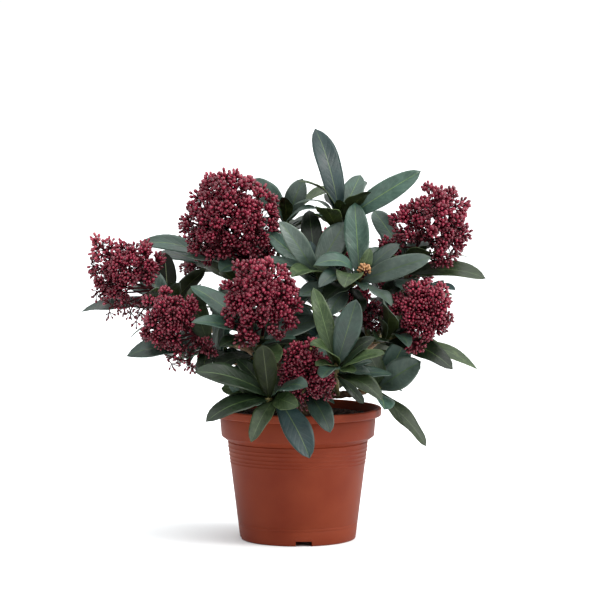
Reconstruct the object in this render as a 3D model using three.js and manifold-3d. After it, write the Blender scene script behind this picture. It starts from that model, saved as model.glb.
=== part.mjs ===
// Potted skimmia in bud: a 14 cm nursery pot, its compost, a short main stem, boughs, leafy shoots
// and flower-bud heads. Millimetres, +Z up, origin at the centre of the pot's underside,
// +X to the right and +Y away from the front.
import * as THREE from "three";
import { mergeVertices } from "three/addons/utils/BufferGeometryUtils.js";
import Module from "manifold-3d";

const wasm = await Module();
wasm.setup();

// ---------------------------------------------------------------- sizes

const clearance = 0.3; // left between a piece and its neighbour
const leafRoom = 0.4; // the same round a leaf
const goldenAngle = THREE.MathUtils.degToRad(137.5);

const pot = {
  height: 110.4,
  lipRadius: 70,
  lipInnerRadius: 66,
  lipDepth: 6.8,
  lipEdge: 1.2, // rounding of the lip, cut as a chamfer
  collarRadius: 65.3, // just under the lip
  collarFootRadius: 64,
  collarBottom: 86.9,
  shoulderRadius: 58.9, // under the collar
  shoulderHeight: 83.1,
  footRadius: 48.6,
  footEdge: 1.6,
  wall: 1.9,
  floorTop: 6,
  footRingInner: 42.5,
  recessTop: 4.2, // ceiling of the drained channel under the floor
  draft: 1, // slope of the channel's sides
  discRadius: 20, // flat middle of the underside
  segments: 32,
  holes: 8,
  holeRadius: 4,
  holeSides: 12,
  holeCircle: 31,
  notches: 4,
  notchWidth: 13.5,
  notchTurn: 6, // degrees from the front to the first notch
};

const soil = {
  top: 105,
  edgeDrop: 1.6, // how far it has settled at the wall
  edgeRound: 1.5,
  flatRadius: 34,
};

const stem = {
  foot: [6, 6, soil.top + clearance],
  fork: [4, 3, 134],
  footRadius: 9,
  forkRadius: 6.5,
  flare: 5, // added at the ground, gone by the first third
  sides: 10,
  rows: 5,
};

const twig = {
  radius: 2.1,
  tipRadius: 1.7,
  sides: 4,
  rows: 3,
  start: 0.97, // place along the bough where it leaves, if the shoot gives none
  bendOut: 0.62,
  bendUp: 0.3,
};
const stalk = {
  radius: 1.5,
  tipRadius: 1,
  sides: 4,
  rows: 2,
  bendUp: 0.4,
  topFork: 0.95, // places along the stalk where its branches leave, from the top one
  forks: 0.6, // down by this much to the lowest
};
const spray = { radius: 0.9, tipRadius: 0.7, sides: 3, rows: 1 };

// The dome of a head: its lumps start near the crown and go down past the equator, as shares of the
// height, and its axis leans from the stalk's line towards the upright.
const dome = { crown: 0.4, reachDown: 1.5, upright: 0.6 };
const blade = {
  sides: 4, // of its section: two edges, the rib above and the rib below
  thickness: 1.2,
  stalkWidth: 2,
  arch: 0.07,
  fold: 0.16,
  rows: 3,
  ruledRows: 2, // of the leaves that are made by rule
  rootOut: 0.8, // the root starts this far from the twig's axis, inside the twig
  apart: 0.35, // past this share of their length the leaves of one whorl don't cross
  widest: 1.25, // from 1 (broadest in the middle) upwards, broadest nearer the tip
  blunt: 0.66, // the smaller, the fuller the blade's ends
};

// A whorl of leaves made by rule: they climb the last stretch of the twig at the golden angle,
// upright near its tip and spreading lower down.
const whorl = {
  stretch: 26,
  step: 2.5,
  topSeat: 4,
  topLift: 38, // degrees from the twig's own direction
  lowLift: 98,
  length: 60,
  lengthSpread: 16,
  widthRatio: 0.35,
  tries: 5,
  tryTurn: 27,
  faceUp: 0.6, // how far the leaves' upper faces turn from the twig's tip to the sky
  lowest: 114,
};

// A leaf that would touch something is turned aside, a little more at each try.
const aside = { tries: 22, step: 3.2 };

// Boughs: [right, back, up] from the main stem to the tip, through a bend.
const boughs = {
  bough_left: { from: 0.8, bend: [-36, -34, 144], tip: [-60, -40, 157], radii: [4.6, 3.4] },
  bough_far_left: { from: 0.95, bend: [-52, 2, 166], tip: [-84, 6, 182], radii: [4.6, 3.2] },
  bough_upper_left: { from: 1, bend: [-16, 18, 172], tip: [-34, 24, 205], radii: [4.4, 3.2] },
  bough_top: { from: 1, bend: [20, 6, 168], tip: [30, 2, 208], radii: [4.8, 3.4] },
  bough_right: { from: 0.85, bend: [38, -16, 154], tip: [62, -17, 167], radii: [5, 3.6] },
  bough_low_right: { from: 0.5, bend: [38, -8, 120], tip: [56, -14, 125], radii: [3.6, 2.8] },
  bough_front: { from: 0.6, bend: [0, -34, 121], tip: [-2, -54, 130], radii: [4.4, 3.4] },
  bough_back: { from: 0.7, bend: [8, 44, 148], tip: [14, 60, 172], radii: [4.4, 3.2] },
  bough_back_left: { from: 0.6, bend: [-30, 46, 138], tip: [-48, 62, 156], radii: [4, 3] },
  bough_back_right: { from: 0.75, bend: [48, 34, 142], tip: [66, 48, 162], radii: [4, 3] },
};
const boughSides = 6;
const boughRows = 5;

// Which way a leaf shows its upper face.
const toFront = [0, -1, 0.25];
const toBack = [0, 0.9, 0.45];
const toSky = [0, -0.6, 0.8];
const toTop = [0, 0, 1];
const toRight = [0.5, -1, 0.2];

// Leafy shoots. `at` is the tip of the twig, in the middle of its leaves. Each leaf is the way from
// there to the leaf's tip, [right, back, up], then its width, its arch and the way it faces.
const shoots = {
  shoot_top: {
    bough: "bough_top",
    at: [35, 10, 273],
    leaves: [
      [[-20, 5, 71], 23, 0.07, toRight],
      [[18, 20, 31], 18, 0.05, toFront],
      [[68, -10, 35], 19, 0.07, toFront],
      [[46, 6, 29], 13, 0.08, toBack],
      [[-35, -4, 27], 15, 0.22, toTop],
      [[-39, 2, 8], 14, 0.3, toTop],
      [[-47, -16, -7], 15, 0.35, toTop],
    ],
    fill: 3,
    fillTurn: 60,
  },
  shoot_crest: {
    bough: "bough_top",
    at: [53, -30, 221],
    leaves: [
      [[-6, 20, 62], 21, 0.03, toFront],
      [[14, 18, 24], 14, 0.06, toFront],
      [[55, -28, 18], 18, 0.05, toFront],
      [[-40, -15, 12], 19, 0.3, toSky],
      [[-11, -45, -4], 22, 0.18, toSky],
      [[-35, -32, 3], 17, 0.22, toSky],
      [[-31, -30, -17], 19, 0.1, toSky],
    ],
    fill: 2,
    fillTurn: 20,
  },
  shoot_middle: {
    bough: "bough_top",
    at: [13, -20, 227],
    leaves: [
      [[27, 12, 39], 23, 0.05, toFront],
      [[-4, 35, 50], 18, 0.05, toFront],
      [[-27, -24, 41], 18, 0.08, toFront],
      [[-39, 8, 31], 16, 0.08, toFront],
      [[-37, -30, 12], 18, 0.1, toSky],
      [[-21, -45, -4], 21, 0.14, toSky],
    ],
    fill: 5,
    fillTurn: 10,
  },
  shoot_upper_right: {
    bough: "bough_right",
    at: [95, 0, 235],
    leaves: [
      [[-32, 52, 40], 17, 0.05, toFront],
      [[-23, 40, 23], 16, 0.08, toFront],
      [[51, 30, 5], 14, 0.08, toTop],
      [[17, -38, 8], 24, 0.1, toTop],
      [[62, -10, -15], 23, 0.1, toSky],
      [[-26, -30, -33], 15, 0.06, toSky],
      [[-5, -40, -24], 21, 0.1, toFront],
    ],
    fill: 3,
    fillTurn: 80,
  },
  shoot_right: {
    bough: "bough_right",
    at: [84, -25, 173],
    leaves: [
      [[44, 35, 42], 14, 0.06, toFront],
      [[14, -47, 0], 13, 0.1, toTop],
      [[65, -10, -27], 15, 0.1, toSky],
      [[43, -37, -23], 22, 0.09, toSky],
    ],
    fill: 4,
    fillTurn: 70,
  },
  shoot_inner_right: {
    bough: "bough_right",
    at: [56, -8, 182],
    leaves: [],
    fill: 6,
    fillTurn: 30,
  },
  shoot_low_right: {
    bough: "bough_low_right",
    at: [73, -20, 131],
    leaves: [
      [[14, -8, 40], 22, 0.05, toFront],
      [[27, -28, 22], 25, 0.08, toFront],
      [[-17, -30, 32], 16, 0.14, toRight],
      [[34, -15, -49], 16, 0.07, toSky],
    ],
    fill: 3,
    fillTurn: 40,
  },
  shoot_front_right: {
    bough: "bough_low_right",
    start: 0.55,
    at: [31, -92, 155],
    leaves: [
      [[16, -4, 52], 21, 0.03, toFront],
      [[-23, 6, 60], 15, 0.04, toFront],
      [[-24, -26, 14], 19, 0.14, toSky],
      [[38, -23, 11], 15, 0.08, toSky],
      [[25, 32, 17], 17, 0.08, toSky],
      [[37, -18, -26], 17, 0.1, toSky],
      [[23, 16, -34], 8, 0.1, toFront],
    ],
    fill: 2,
    fillTurn: 110,
  },
  shoot_inner: {
    bough: "bough_top",
    start: 0.5,
    at: [18, -20, 167],
    leaves: [],
    fill: 5,
    fillTurn: 45,
  },
  shoot_front_low: {
    bough: "bough_front",
    at: [-25, -95, 126],
    leaves: [
      [[-3, -21, 47], 19, 0.03, toBack],
      [[-24, 15, 33], 15, 0.06, toSky],
      [[32, -35, 16], 19, 0.1, toSky],
      [[-56, -23, 27], 23, 0.07, toSky],
      [[-48, -33, -11], 21, 0.08, toSky],
      [[35, -17, -44], 23, 0.07, toSky],
      [[-12, -35, -29], 15, 0.1, toSky],
    ],
    fill: 0,
    fillTurn: 90,
  },
  shoot_front: {
    bough: "bough_front",
    at: [10, -60, 132],
    leaves: [
      [[13, -35, -30], 18, 0.08, toSky],
    ],
    fill: 4,
    fillTurn: 130,
  },
  shoot_front_left: {
    bough: "bough_left",
    start: 0.75,
    at: [-29, -58, 175],
    leaves: [
      [[-59, 18, 40], 19, 0.06, toSky],
      [[-56, -34, 15], 19, 0.08, toSky],
      [[-31, -37, -7], 18, 0.12, toSky],
      [[13, -46, -17], 21, 0.06, toSky],
    ],
    fill: 5,
    fillTurn: 10,
  },
  shoot_left: {
    bough: "bough_left",
    at: [-76, -50, 167],
    leaves: [
      [[-2, -30, -23], 13, 0.1, toSky],
      [[20, -25, -21], 16, 0.1, toSky],
      [[-64, -10, -4], 21, 0.08, toSky],
    ],
    fill: 4,
    fillTurn: 50,
  },
  shoot_far_left: {
    bough: "bough_far_left",
    at: [-111, 0, 200],
    leaves: [
      [[-2, 36, 38], 17, 0.03, toBack],
      [[33, 10, 25], 15, 0.08, toBack],
      [[-71, 2, -8], 19, 0.08, toSky],
    ],
    fill: 4,
    fillTurn: 100,
  },
  shoot_upper_left: {
    bough: "bough_upper_left",
    at: [-44, 5, 229],
    leaves: [
      [[-20, -40, -2], 19, 0.1, toSky],
    ],
    fill: 6,
    fillTurn: 65,
  },
  shoot_left_back: {
    bough: "bough_upper_left",
    start: 0.85,
    at: [-62, 54, 226],
    leaves: [
      [[-74, -2, 26], 17, 0.12, toSky],
      [[-62, -10, 10], 18, 0.1, toSky],
    ],
    fill: 4,
    fillTurn: 150,
  },
  shoot_top_back: {
    bough: "bough_upper_left",
    at: [-8, 38, 270],
    leaves: [
      [[-30, -6, 31], 21, 0.05, toFront],
      [[12, -12, 31], 18, 0.1, toFront],
    ],
    fill: 6,
    fillTurn: 20,
  },
  shoot_back: {
    bough: "bough_back",
    at: [22, 88, 206],
    leaves: [],
    fill: 7,
    fillTurn: 0,
  },
  shoot_back_inner: {
    bough: "bough_back",
    start: 0.7,
    at: [-10, 84, 150],
    leaves: [],
    fill: 3,
    fillTurn: 35,
  },
  shoot_back_left: {
    bough: "bough_back_left",
    at: [-46, 84, 196],
    leaves: [],
    fill: 7,
    fillTurn: 70,
  },
  shoot_low_back_left: {
    bough: "bough_back_left",
    at: [-92, 64, 170],
    leaves: [],
    fill: 7,
    fillTurn: 15,
  },
  shoot_back_right: {
    bough: "bough_back_right",
    at: [82, 72, 188],
    leaves: [],
    fill: 7,
    fillTurn: 55,
  },
  shoot_low_back_right: {
    bough: "bough_back_right",
    start: 0.8,
    at: [58, 76, 142],
    leaves: [],
    fill: 7,
    fillTurn: 95,
  },
};

// Flower-bud heads: a stalk above a shoot, with bud clusters spread over a dome round `centre`.
// `depth` is the dome's size from front to back as a share of its breadth, `peak` draws its crown
// in, and `beside` holds the few clusters that hang or stand apart from it, as [place, size].
const heads = {
  head_upper_left: {
    shoot: "shoot_upper_left",
    centre: [-56, 3, 265],
    radius: 43,
    height: 47,
    peak: 0.7,
    core: [30, 27, 32],
    clusters: 12,
    clusterRadius: 10,
    beside: [
      [[-84, 2, 249], 9],
      [[-48, 8, 237], 8],
      [[-27, 4, 240], 8],
    ],
  },
  head_front_left: {
    shoot: "shoot_front_left",
    centre: [-30, -75, 204],
    radius: 34,
    height: 37,
    core: [28, 22, 29],
    clusters: 9,
    clusterRadius: 9,
    beside: [
      [[-44, -90, 176], 6],
    ],
  },
  head_far_left: {
    shoot: "shoot_far_left",
    centre: [-141, -10, 225],
    radius: 33,
    height: 25,
    clusters: 7,
    clusterRadius: 9,
    beside: [
      [[-164, -8, 246], 9],
      [[-172, -12, 231], 7],
      [[-167, -14, 208], 8],
      [[-155, -32, 196], 7],
      [[-141, -34, 196], 7],
      [[-130, -34, 191], 7],
    ],
  },
  head_left: {
    shoot: "shoot_left",
    centre: [-104, -60, 188],
    radius: 28,
    height: 26,
    core: [21, 17, 18],
    clusters: 8,
    clusterRadius: 8,
    beside: [
      [[-105, -68, 156], 7],
      [[-89, -70, 154], 7],
      [[-112, -66, 169], 7],
      [[-74, -74, 167], 7],
    ],
  },
  head_front: {
    shoot: "shoot_front",
    centre: [8, -82, 148],
    radius: 28,
    height: 30,
    depth: 0.7,
    core: [22, 15, 22],
    clusters: 8,
    clusterRadius: 8,
    beside: [
      [[-1, -74, 125], 7],
      [[21, -82, 131], 7],
    ],
  },
  head_upper_right: {
    shoot: "shoot_upper_right",
    centre: [113, 0, 262],
    radius: 34,
    height: 38,
    peak: 0.7,
    clusters: 9,
    clusterRadius: 9,
    beside: [
      [[72, -6, 249], 8],
      [[118, -20, 231], 8],
    ],
  },
  head_right: {
    shoot: "shoot_right",
    centre: [103, -42, 193],
    radius: 28,
    height: 28,
    core: [20, 16, 20],
    clusters: 8,
    clusterRadius: 8,
    beside: [
      [[97, -60, 167], 6],
    ],
  },
  head_inner_right: {
    shoot: "shoot_inner_right",
    centre: [48, -12, 204],
    radius: 15,
    height: 12,
    clusters: 3,
    clusterRadius: 6,
    beside: [
      [[37, -18, 194], 6],
      [[61, -18, 196], 6],
      [[74, -20, 185], 7],
      [[57, -18, 180], 5],
    ],
  },
  head_left_back: {
    shoot: "shoot_left_back",
    centre: [-88, 76, 228],
    radius: 16,
    height: 12,
    clusters: 3,
    clusterRadius: 7.5,
    beside: [
      [[-96, 72, 242], 7],
    ],
  },
  head_crest: {
    shoot: "shoot_crest",
    centre: [54, -37, 228],
    radius: 6,
    height: 5,
    clusters: 1,
    clusterRadius: 5,
    beside: [],
  },
  head_back: {
    shoot: "shoot_back",
    centre: [27, 102, 232],
    radius: 26,
    height: 23,
    core: [20, 20, 18],
    clusters: 5,
    clusterRadius: 8,
    beside: [],
  },
  head_back_left: {
    shoot: "shoot_back_left",
    centre: [-46, 98, 220],
    radius: 24,
    height: 21,
    core: [19, 19, 16],
    clusters: 5,
    clusterRadius: 8,
    beside: [],
  },
  head_back_right: {
    shoot: "shoot_back_right",
    centre: [90, 86, 212],
    radius: 26,
    height: 23,
    core: [20, 20, 18],
    clusters: 5,
    clusterRadius: 8,
    beside: [],
  },
  head_low_back_left: {
    shoot: "shoot_low_back_left",
    centre: [-104, 68, 192],
    radius: 20,
    height: 18,
    core: [16, 16, 14],
    clusters: 4,
    clusterRadius: 7,
    beside: [],
  },
};

// Open air that the crown leaves as seen from the front, a few steps away: [right, up, radius] of
// each space where it crosses the upright plane through the pot's axis.
const viewFrom = [2, -2200, 350];
const openAir = [
  [-140, 292, 38],
  [-52, 354, 35],
  [-15, 325, 23],
  [68, 338, 28],
  [177, 271, 28],
  [156, 188, 20],
  [132, 108, 21],
  [-115, 116, 28],
  [-170, 158, 20],
  [-199, 225, 17],
  [152, 309, 17],
  [-123, 275, 15],
  [118, 313, 17],
  [-149, 205, 5],
  [-102, 221, 5],
  [-71, 214, 8],
  [-68, 151, 7],
  [67, 252, 6],
  [62, 180, 7],
  [50, 121, 10],
  [111, 132, 13],
  [106, 116, 10],
  [92, 117, 6],
  [-128, 143, 10],
  [15, 294, 9],
  [7, 273, 3],
];

const colours = {
  pot: { color: 0x9b4a38, roughness: 0.55 },
  soil: { color: 0x2d1c18, roughness: 1 },
  bark: { color: 0x6b5440, roughness: 0.9 },
  leaf: { color: 0x3f5043, roughness: 0.45 },
  buds: { color: 0x6e1f28, roughness: 0.6 },
};

// ---------------------------------------------------------------- helpers

const vector = (values) => new THREE.Vector3(...values);
const upwards = vector([0, 0, 1]);
const rightwards = vector([1, 0, 0]);
const degrees = THREE.MathUtils.degToRad;

// Numbers from 0 to 1 that come out the same on every run.
function makeRandom(seed) {
  let state = seed;
  return () => {
    state = (1664525 * state + 1013904223) % 4294967296;
    return state / 4294967296;
  };
}

function toSolid(geometry) {
  const bare = geometry.clone();
  bare.deleteAttribute("normal");
  bare.deleteAttribute("uv");
  const merged = mergeVertices(bare, 1e-4);
  return new wasm.Manifold(
    new wasm.Mesh({
      numProp: 3,
      vertProperties: new Float32Array(merged.attributes.position.array),
      triVerts: new Uint32Array(merged.index.array),
    }),
  );
}

function toGeometry(solid) {
  const { vertProperties, triVerts, numProp } = solid.getMesh();
  const geometry = new THREE.BufferGeometry();
  const buffer = new THREE.InterleavedBuffer(vertProperties, numProp);
  geometry.setAttribute("position", new THREE.InterleavedBufferAttribute(buffer, 3, 0));
  geometry.setIndex(new THREE.BufferAttribute(triVerts, 1));
  return geometry.toNonIndexed();
}

function toMesh(name, solid, colour) {
  const geometry = toGeometry(solid);
  geometry.computeVertexNormals();
  const material = new THREE.MeshStandardMaterial({ metalness: 0, ...colour });
  const mesh = new THREE.Mesh(geometry, material);
  mesh.name = name;
  return mesh;
}

// The joined pieces without loose scraps: only the largest connected body is kept.
function fuse(pieces) {
  const parts = wasm.Manifold.union(pieces).decompose();
  return parts.reduce((best, part) => (part.volume() > best.volume() ? part : best));
}

// A closed prism whose rows are carried onto a path: `place(along, across, above)` gives the point
// for a place along the path, with `across` and `above` on the unit circle of the section.
function sweep(sides, rows, pointed, place) {
  const geometry = new THREE.CylinderGeometry(pointed ? 0 : 1, 1, 1, sides, rows);
  const position = geometry.attributes.position;
  for (let i = 0; i < position.count; i++) {
    const along = position.getY(i) + 0.5;
    const reach = pointed ? Math.max(1 - along, 1e-6) : 1;
    const point = place(along, position.getX(i) / reach, position.getZ(i) / reach);
    position.setXYZ(i, point.x, point.y, point.z);
  }
  return toSolid(geometry);
}

// A round limb along a curve; radiusAt gives its radius, and grow makes it fatter all round.
function limb(curve, radiusAt, sides, rows, grow = 0) {
  const start = curve.getPointAt(0);
  const startWay = curve.getTangentAt(0);
  const end = curve.getPointAt(1);
  const endWay = curve.getTangentAt(1);
  const frames = curve.computeFrenetFrames(rows, false);
  return sweep(sides, rows, false, (along, across, above) => {
    const row = Math.round(along * rows);
    const point = curve.getPointAt(along);
    if (row === 0) point.copy(start).addScaledVector(startWay, -grow);
    if (row === rows) point.copy(end).addScaledVector(endWay, grow);
    const radius = radiusAt(along) + grow;
    const side = frames.normals[row];
    const other = frames.binormals[row];
    return point
      .addScaledVector(other, across * radius)
      .addScaledVector(side, above * radius);
  });
}

const taper = (from, to) => (along) => THREE.MathUtils.lerp(from, to, along);

// ---------------------------------------------------------------- the leaf

// Half the blade's breadth at a place along it: a narrow stalk, widest past the middle, a short point.
function halfBreadth(along, width) {
  const swell = Math.max(Math.sin(Math.PI * Math.pow(along, blade.widest)), 0);
  return blade.stalkWidth / 2 + (width / 2 - blade.stalkWidth / 2) * Math.pow(swell, blade.blunt);
}

// Rows stand closer where the outline bends most.
const rowPlace = (along) => along * (1.12 - 0.12 * along);

// `from` is the leaf's root and `to` its tip; `begin` leaves out the part below it.
function leafBlade(leaf, begin = 0, grow = 0) {
  const chord = leaf.to.clone().sub(leaf.from);
  const length = chord.length();
  const way = chord.clone().normalize();
  const face = leaf.face.clone().addScaledVector(way, -leaf.face.dot(way)).normalize();
  const side = way.clone().cross(face);
  const bend = leaf.from.clone().lerp(leaf.to, 0.5).addScaledVector(face, 2 * leaf.arch * length);
  const rib = new THREE.QuadraticBezierCurve3(leaf.from, bend, leaf.to);
  return sweep(blade.sides, leaf.rows ?? blade.rows, true, (along, across, above) => {
    const place = begin + (1 - begin) * rowPlace(along);
    const point = rib.getPoint(place);
    const tangent = rib.getTangent(place);
    if (along === 1) return point.addScaledVector(tangent, grow);
    const normal = side.clone().cross(tangent);
    const breadth = halfBreadth(place, leaf.width) + grow;
    const rise = above * (blade.thickness / 2 + grow) + Math.abs(across) * breadth * blade.fold;
    return point.addScaledVector(side, across * breadth).addScaledVector(normal, rise);
  });
}

// ---------------------------------------------------------------- room in the crown

const placed = []; // limbs, bud clusters and leaves so far, with the node that owns each

function place(node, kind, envelope, outer = envelope) {
  placed.push({ node, kind, envelope, outer, box: envelope.boundingBox() });
}

function boxesMeet(a, b) {
  return [0, 1, 2].every((axis) => a.min[axis] < b.max[axis] && b.min[axis] < a.max[axis]);
}

// What else stands in the way of a solid: other nodes' pieces, and the node's own leaf blades.
function isClear(node, envelope, outer = null) {
  const box = envelope.boundingBox();
  return !placed.some((other) => {
    if (!boxesMeet(box, other.box)) return false;
    if (other.node !== node) return !envelope.intersect(other.envelope).isEmpty();
    if (other.kind !== "leaf" || !outer) return false;
    return !outer.intersect(other.outer).isEmpty();
  });
}

// Cuts a limb clear of the limbs that stand already.
function cutClear(node, solid) {
  const box = solid.boundingBox();
  const near = placed.filter((other) => other.node !== node && boxesMeet(box, other.box));
  return near.reduce((rest, other) => rest.subtract(other.envelope), solid);
}

// Whether a point shows in one of the crown's open spaces.
function inOpenAir(point) {
  const nearness = viewFrom[1] / (viewFrom[1] - point.y);
  const right = viewFrom[0] + (point.x - viewFrom[0]) * nearness;
  const up = viewFrom[2] + (point.z - viewFrom[2]) * nearness;
  return openAir.some(([x, z, radius]) => Math.hypot(right - x, up - z) < radius);
}

function leafInOpenAir(leaf) {
  return [0.45, 0.6, 0.75, 0.9, 1].some((along) => inOpenAir(leaf.from.clone().lerp(leaf.to, along)));
}

// ---------------------------------------------------------------- pot and compost

function lathe(outline, segments) {
  return toSolid(new THREE.LatheGeometry(outline.map(([r, z]) => new THREE.Vector2(r, z)), segments)
    .rotateX(Math.PI / 2));
}

// The inner wall's radius at a height, parallel to the outside.
const innerRadius = {
  foot: pot.footRadius - pot.wall,
  shoulder: pot.shoulderRadius - pot.wall,
  collarFoot: pot.collarFootRadius - pot.wall,
  collar: pot.collarRadius - pot.wall,
};

function makePot() {
  const lipBottom = pot.height - pot.lipDepth;
  const body = lathe(
    [
      [0, 0],
      [pot.discRadius, 0],
      [pot.discRadius + pot.draft, pot.recessTop],
      [pot.footRingInner - pot.draft, pot.recessTop],
      [pot.footRingInner, 0],
      [pot.footRadius - pot.footEdge, 0],
      [pot.footRadius, pot.footEdge],
      [pot.shoulderRadius, pot.shoulderHeight],
      [pot.collarFootRadius, pot.collarBottom],
      [pot.collarRadius, lipBottom],
      [pot.lipRadius - pot.lipEdge, lipBottom],
      [pot.lipRadius, lipBottom + pot.lipEdge],
      [pot.lipRadius, pot.height - pot.lipEdge],
      [pot.lipRadius - pot.lipEdge, pot.height],
      [pot.lipInnerRadius, pot.height],
      [innerRadius.collar, lipBottom - pot.lipEdge],
      [innerRadius.collarFoot, pot.collarBottom + pot.wall],
      [innerRadius.shoulder, pot.shoulderHeight + pot.wall],
      [innerRadius.foot, pot.floorTop],
      [0, pot.floorTop],
    ],
    pot.segments,
  );
  const hole = new THREE.CylinderGeometry(pot.holeRadius, pot.holeRadius, 4 * pot.floorTop, pot.holeSides)
    .rotateX(Math.PI / 2)
    .translate(pot.holeCircle, 0, 0);
  const notch = new THREE.BoxGeometry(pot.lipRadius, pot.notchWidth, 2 * pot.recessTop)
    .translate(pot.footRingInner + pot.lipRadius / 2 - pot.wall, 0, 0)
    .rotateZ(degrees(pot.notchTurn - 90));
  const cuts = [];
  for (let i = 0; i < pot.holes; i++) {
    cuts.push(toSolid(hole.clone().rotateZ((2 * Math.PI * (i + 0.5)) / pot.holes)));
  }
  for (let i = 0; i < pot.notches; i++) {
    cuts.push(toSolid(notch.clone().rotateZ((2 * Math.PI * i) / pot.notches)));
  }
  return body.subtract(wasm.Manifold.union(cuts));
}

function makeSoil() {
  const edgeTop = soil.top - soil.edgeDrop;
  const inside = (radius) => radius - clearance;
  return lathe(
    [
      [0, pot.floorTop + clearance],
      [inside(innerRadius.foot), pot.floorTop + clearance],
      [inside(innerRadius.shoulder), pot.shoulderHeight + pot.wall + clearance],
      [inside(innerRadius.collarFoot), pot.collarBottom + pot.wall + clearance],
      [inside(innerRadius.collar) - clearance, edgeTop - soil.edgeRound],
      [inside(innerRadius.collar) - soil.edgeRound, edgeTop],
      [soil.flatRadius, soil.top],
      [0, soil.top],
    ],
    pot.segments,
  );
}

// ---------------------------------------------------------------- stem, boughs and twigs

const stemCurve = new THREE.LineCurve3(vector(stem.foot), vector(stem.fork));

function stemRadius(along) {
  const flare = stem.flare * Math.pow(Math.max(1 - 3 * along, 0), 1.6);
  return THREE.MathUtils.lerp(stem.footRadius, stem.forkRadius, along) + flare;
}

function makeStem(grow) {
  const solid = limb(stemCurve, stemRadius, stem.sides, stem.rows, grow);
  if (grow) return solid;
  const ground = new THREE.BoxGeometry(4 * stem.footRadius, 4 * stem.footRadius, stem.footRadius)
    .translate(stem.foot[0], stem.foot[1], stem.foot[2] - stem.footRadius / 2);
  return solid.subtract(toSolid(ground));
}

function boughCurve(bough) {
  const from = stemCurve.getPoint(bough.from);
  return new THREE.QuadraticBezierCurve3(from, vector(bough.bend), vector(bough.tip));
}

// A twig leaves its bough near the tip, runs outwards and turns up towards its own tip.
function twigCurve(shoot) {
  const from = boughCurve(boughs[shoot.bough]).getPointAt(shoot.start ?? twig.start);
  const to = vector(shoot.at);
  const bend = from.clone().lerp(to, twig.bendOut);
  bend.z = THREE.MathUtils.lerp(from.z, to.z, twig.bendUp);
  return new THREE.QuadraticBezierCurve3(from, bend, to);
}

// ---------------------------------------------------------------- heads of buds

// Clusters climb a dome round the head's axis at the golden angle, from its crown to its skirt.
function clusterPlaces(head, from) {
  const centre = vector(head.centre);
  const axis = centre.clone().sub(from).normalize().addScaledVector(upwards, dome.upright).normalize();
  const side = rightwards.clone().addScaledVector(axis, -axis.x).normalize();
  const other = axis.clone().cross(side);
  const places = [];
  for (let i = 0; i < head.clusters; i++) {
    const rise = 1 - ((i + dome.crown) * dome.reachDown) / head.clusters;
    const narrowing = 0.5 * (1 + (head.peak ?? 0) * Math.max(rise, 0));
    const spread = Math.pow(1 - rise * rise, narrowing) * (head.radius - head.clusterRadius);
    const turn = i * goldenAngle;
    const at = centre.clone()
      .addScaledVector(axis, rise * (head.height - head.clusterRadius))
      .addScaledVector(side, Math.cos(turn) * spread)
      .addScaledVector(other, Math.sin(turn) * spread * (head.depth ?? 1));
    places.push({ at, radius: head.clusterRadius, free: !head.core });
  }
  for (const [at, radius] of head.beside) places.push({ at: vector(at), radius, free: true });
  return places;
}

// A lump of buds, or with more detail the core that the lumps stand out of.
function budLump(at, radii, detail, turn) {
  const lump = new THREE.IcosahedronGeometry(1, detail).rotateZ(turn).rotateX(turn);
  return toSolid(lump.scale(...radii).translate(at.x, at.y, at.z));
}

function growHead(name, head) {
  const shoot = shoots[head.shoot];
  const tip = vector(shoot.at);
  const centre = vector(head.centre);
  const way = twigCurve(shoot).getTangentAt(1);
  const from = tip.clone().addScaledVector(way, clearance);
  const bend = tip.clone().addScaledVector(way, tip.distanceTo(centre) * stalk.bendUp);
  const rachis = new THREE.QuadraticBezierCurve3(from, bend, centre);
  const radius = taper(stalk.radius, stalk.tipRadius);
  const pieces = [cutClear(name, limb(rachis, radius, stalk.sides, stalk.rows))];
  place(name, "stalk", limb(rachis, radius, stalk.sides, stalk.rows, clearance));
  if (head.core) {
    const core = (grow) => budLump(centre, head.core.map((size) => size + grow), 1, 0);
    pieces.push(cutClear(name, core(0)));
    place(name, "buds", core(clearance));
  }
  const spots = clusterPlaces(head, tip);
  spots.forEach(({ at, radius: size, free }, i) => {
    const lump = (grow) => budLump(at, [size + grow, size + grow, size + grow], 0, i);
    const arm = new THREE.LineCurve3(rachis.getPoint(stalk.topFork - (stalk.forks * i) / spots.length), at);
    const branch = (grow) => limb(arm, taper(spray.radius, spray.tipRadius), spray.sides, spray.rows, grow);
    if (!isClear(name, lump(clearance))) return;
    if (free && !isClear(name, branch(clearance))) return;
    pieces.push(lump(0));
    place(name, "buds", lump(clearance));
    if (!free) return;
    pieces.push(branch(0));
    place(name, "stalk", branch(clearance));
  });
  return pieces;
}

// ---------------------------------------------------------------- leaves

// The same leaf, swung aside by an angle in a direction round its own line.
function swung(leaf, angle, turn) {
  const chord = leaf.to.clone().sub(leaf.from);
  const hinge = leaf.face.clone().cross(chord).normalize().applyAxisAngle(chord.clone().normalize(), turn);
  return { ...leaf, to: chord.applyAxisAngle(hinge, angle).add(leaf.from) };
}

function tryLeaf(name, leaf, pieces) {
  const envelope = leafBlade(leaf, 0, leafRoom);
  const outer = leafBlade(leaf, blade.apart, clearance);
  if (!isClear(name, envelope, outer)) return false;
  const way = leaf.to.clone().sub(leaf.from).normalize();
  pieces.push(leafBlade({ ...leaf, from: leaf.from.clone().addScaledVector(way, blade.rootOut) }));
  place(name, "leaf", envelope, outer);
  return true;
}

function seatOn(curve, below) {
  return curve.getPointAt(Math.max(1 - below / curve.getLength(), 0.05));
}

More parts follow.
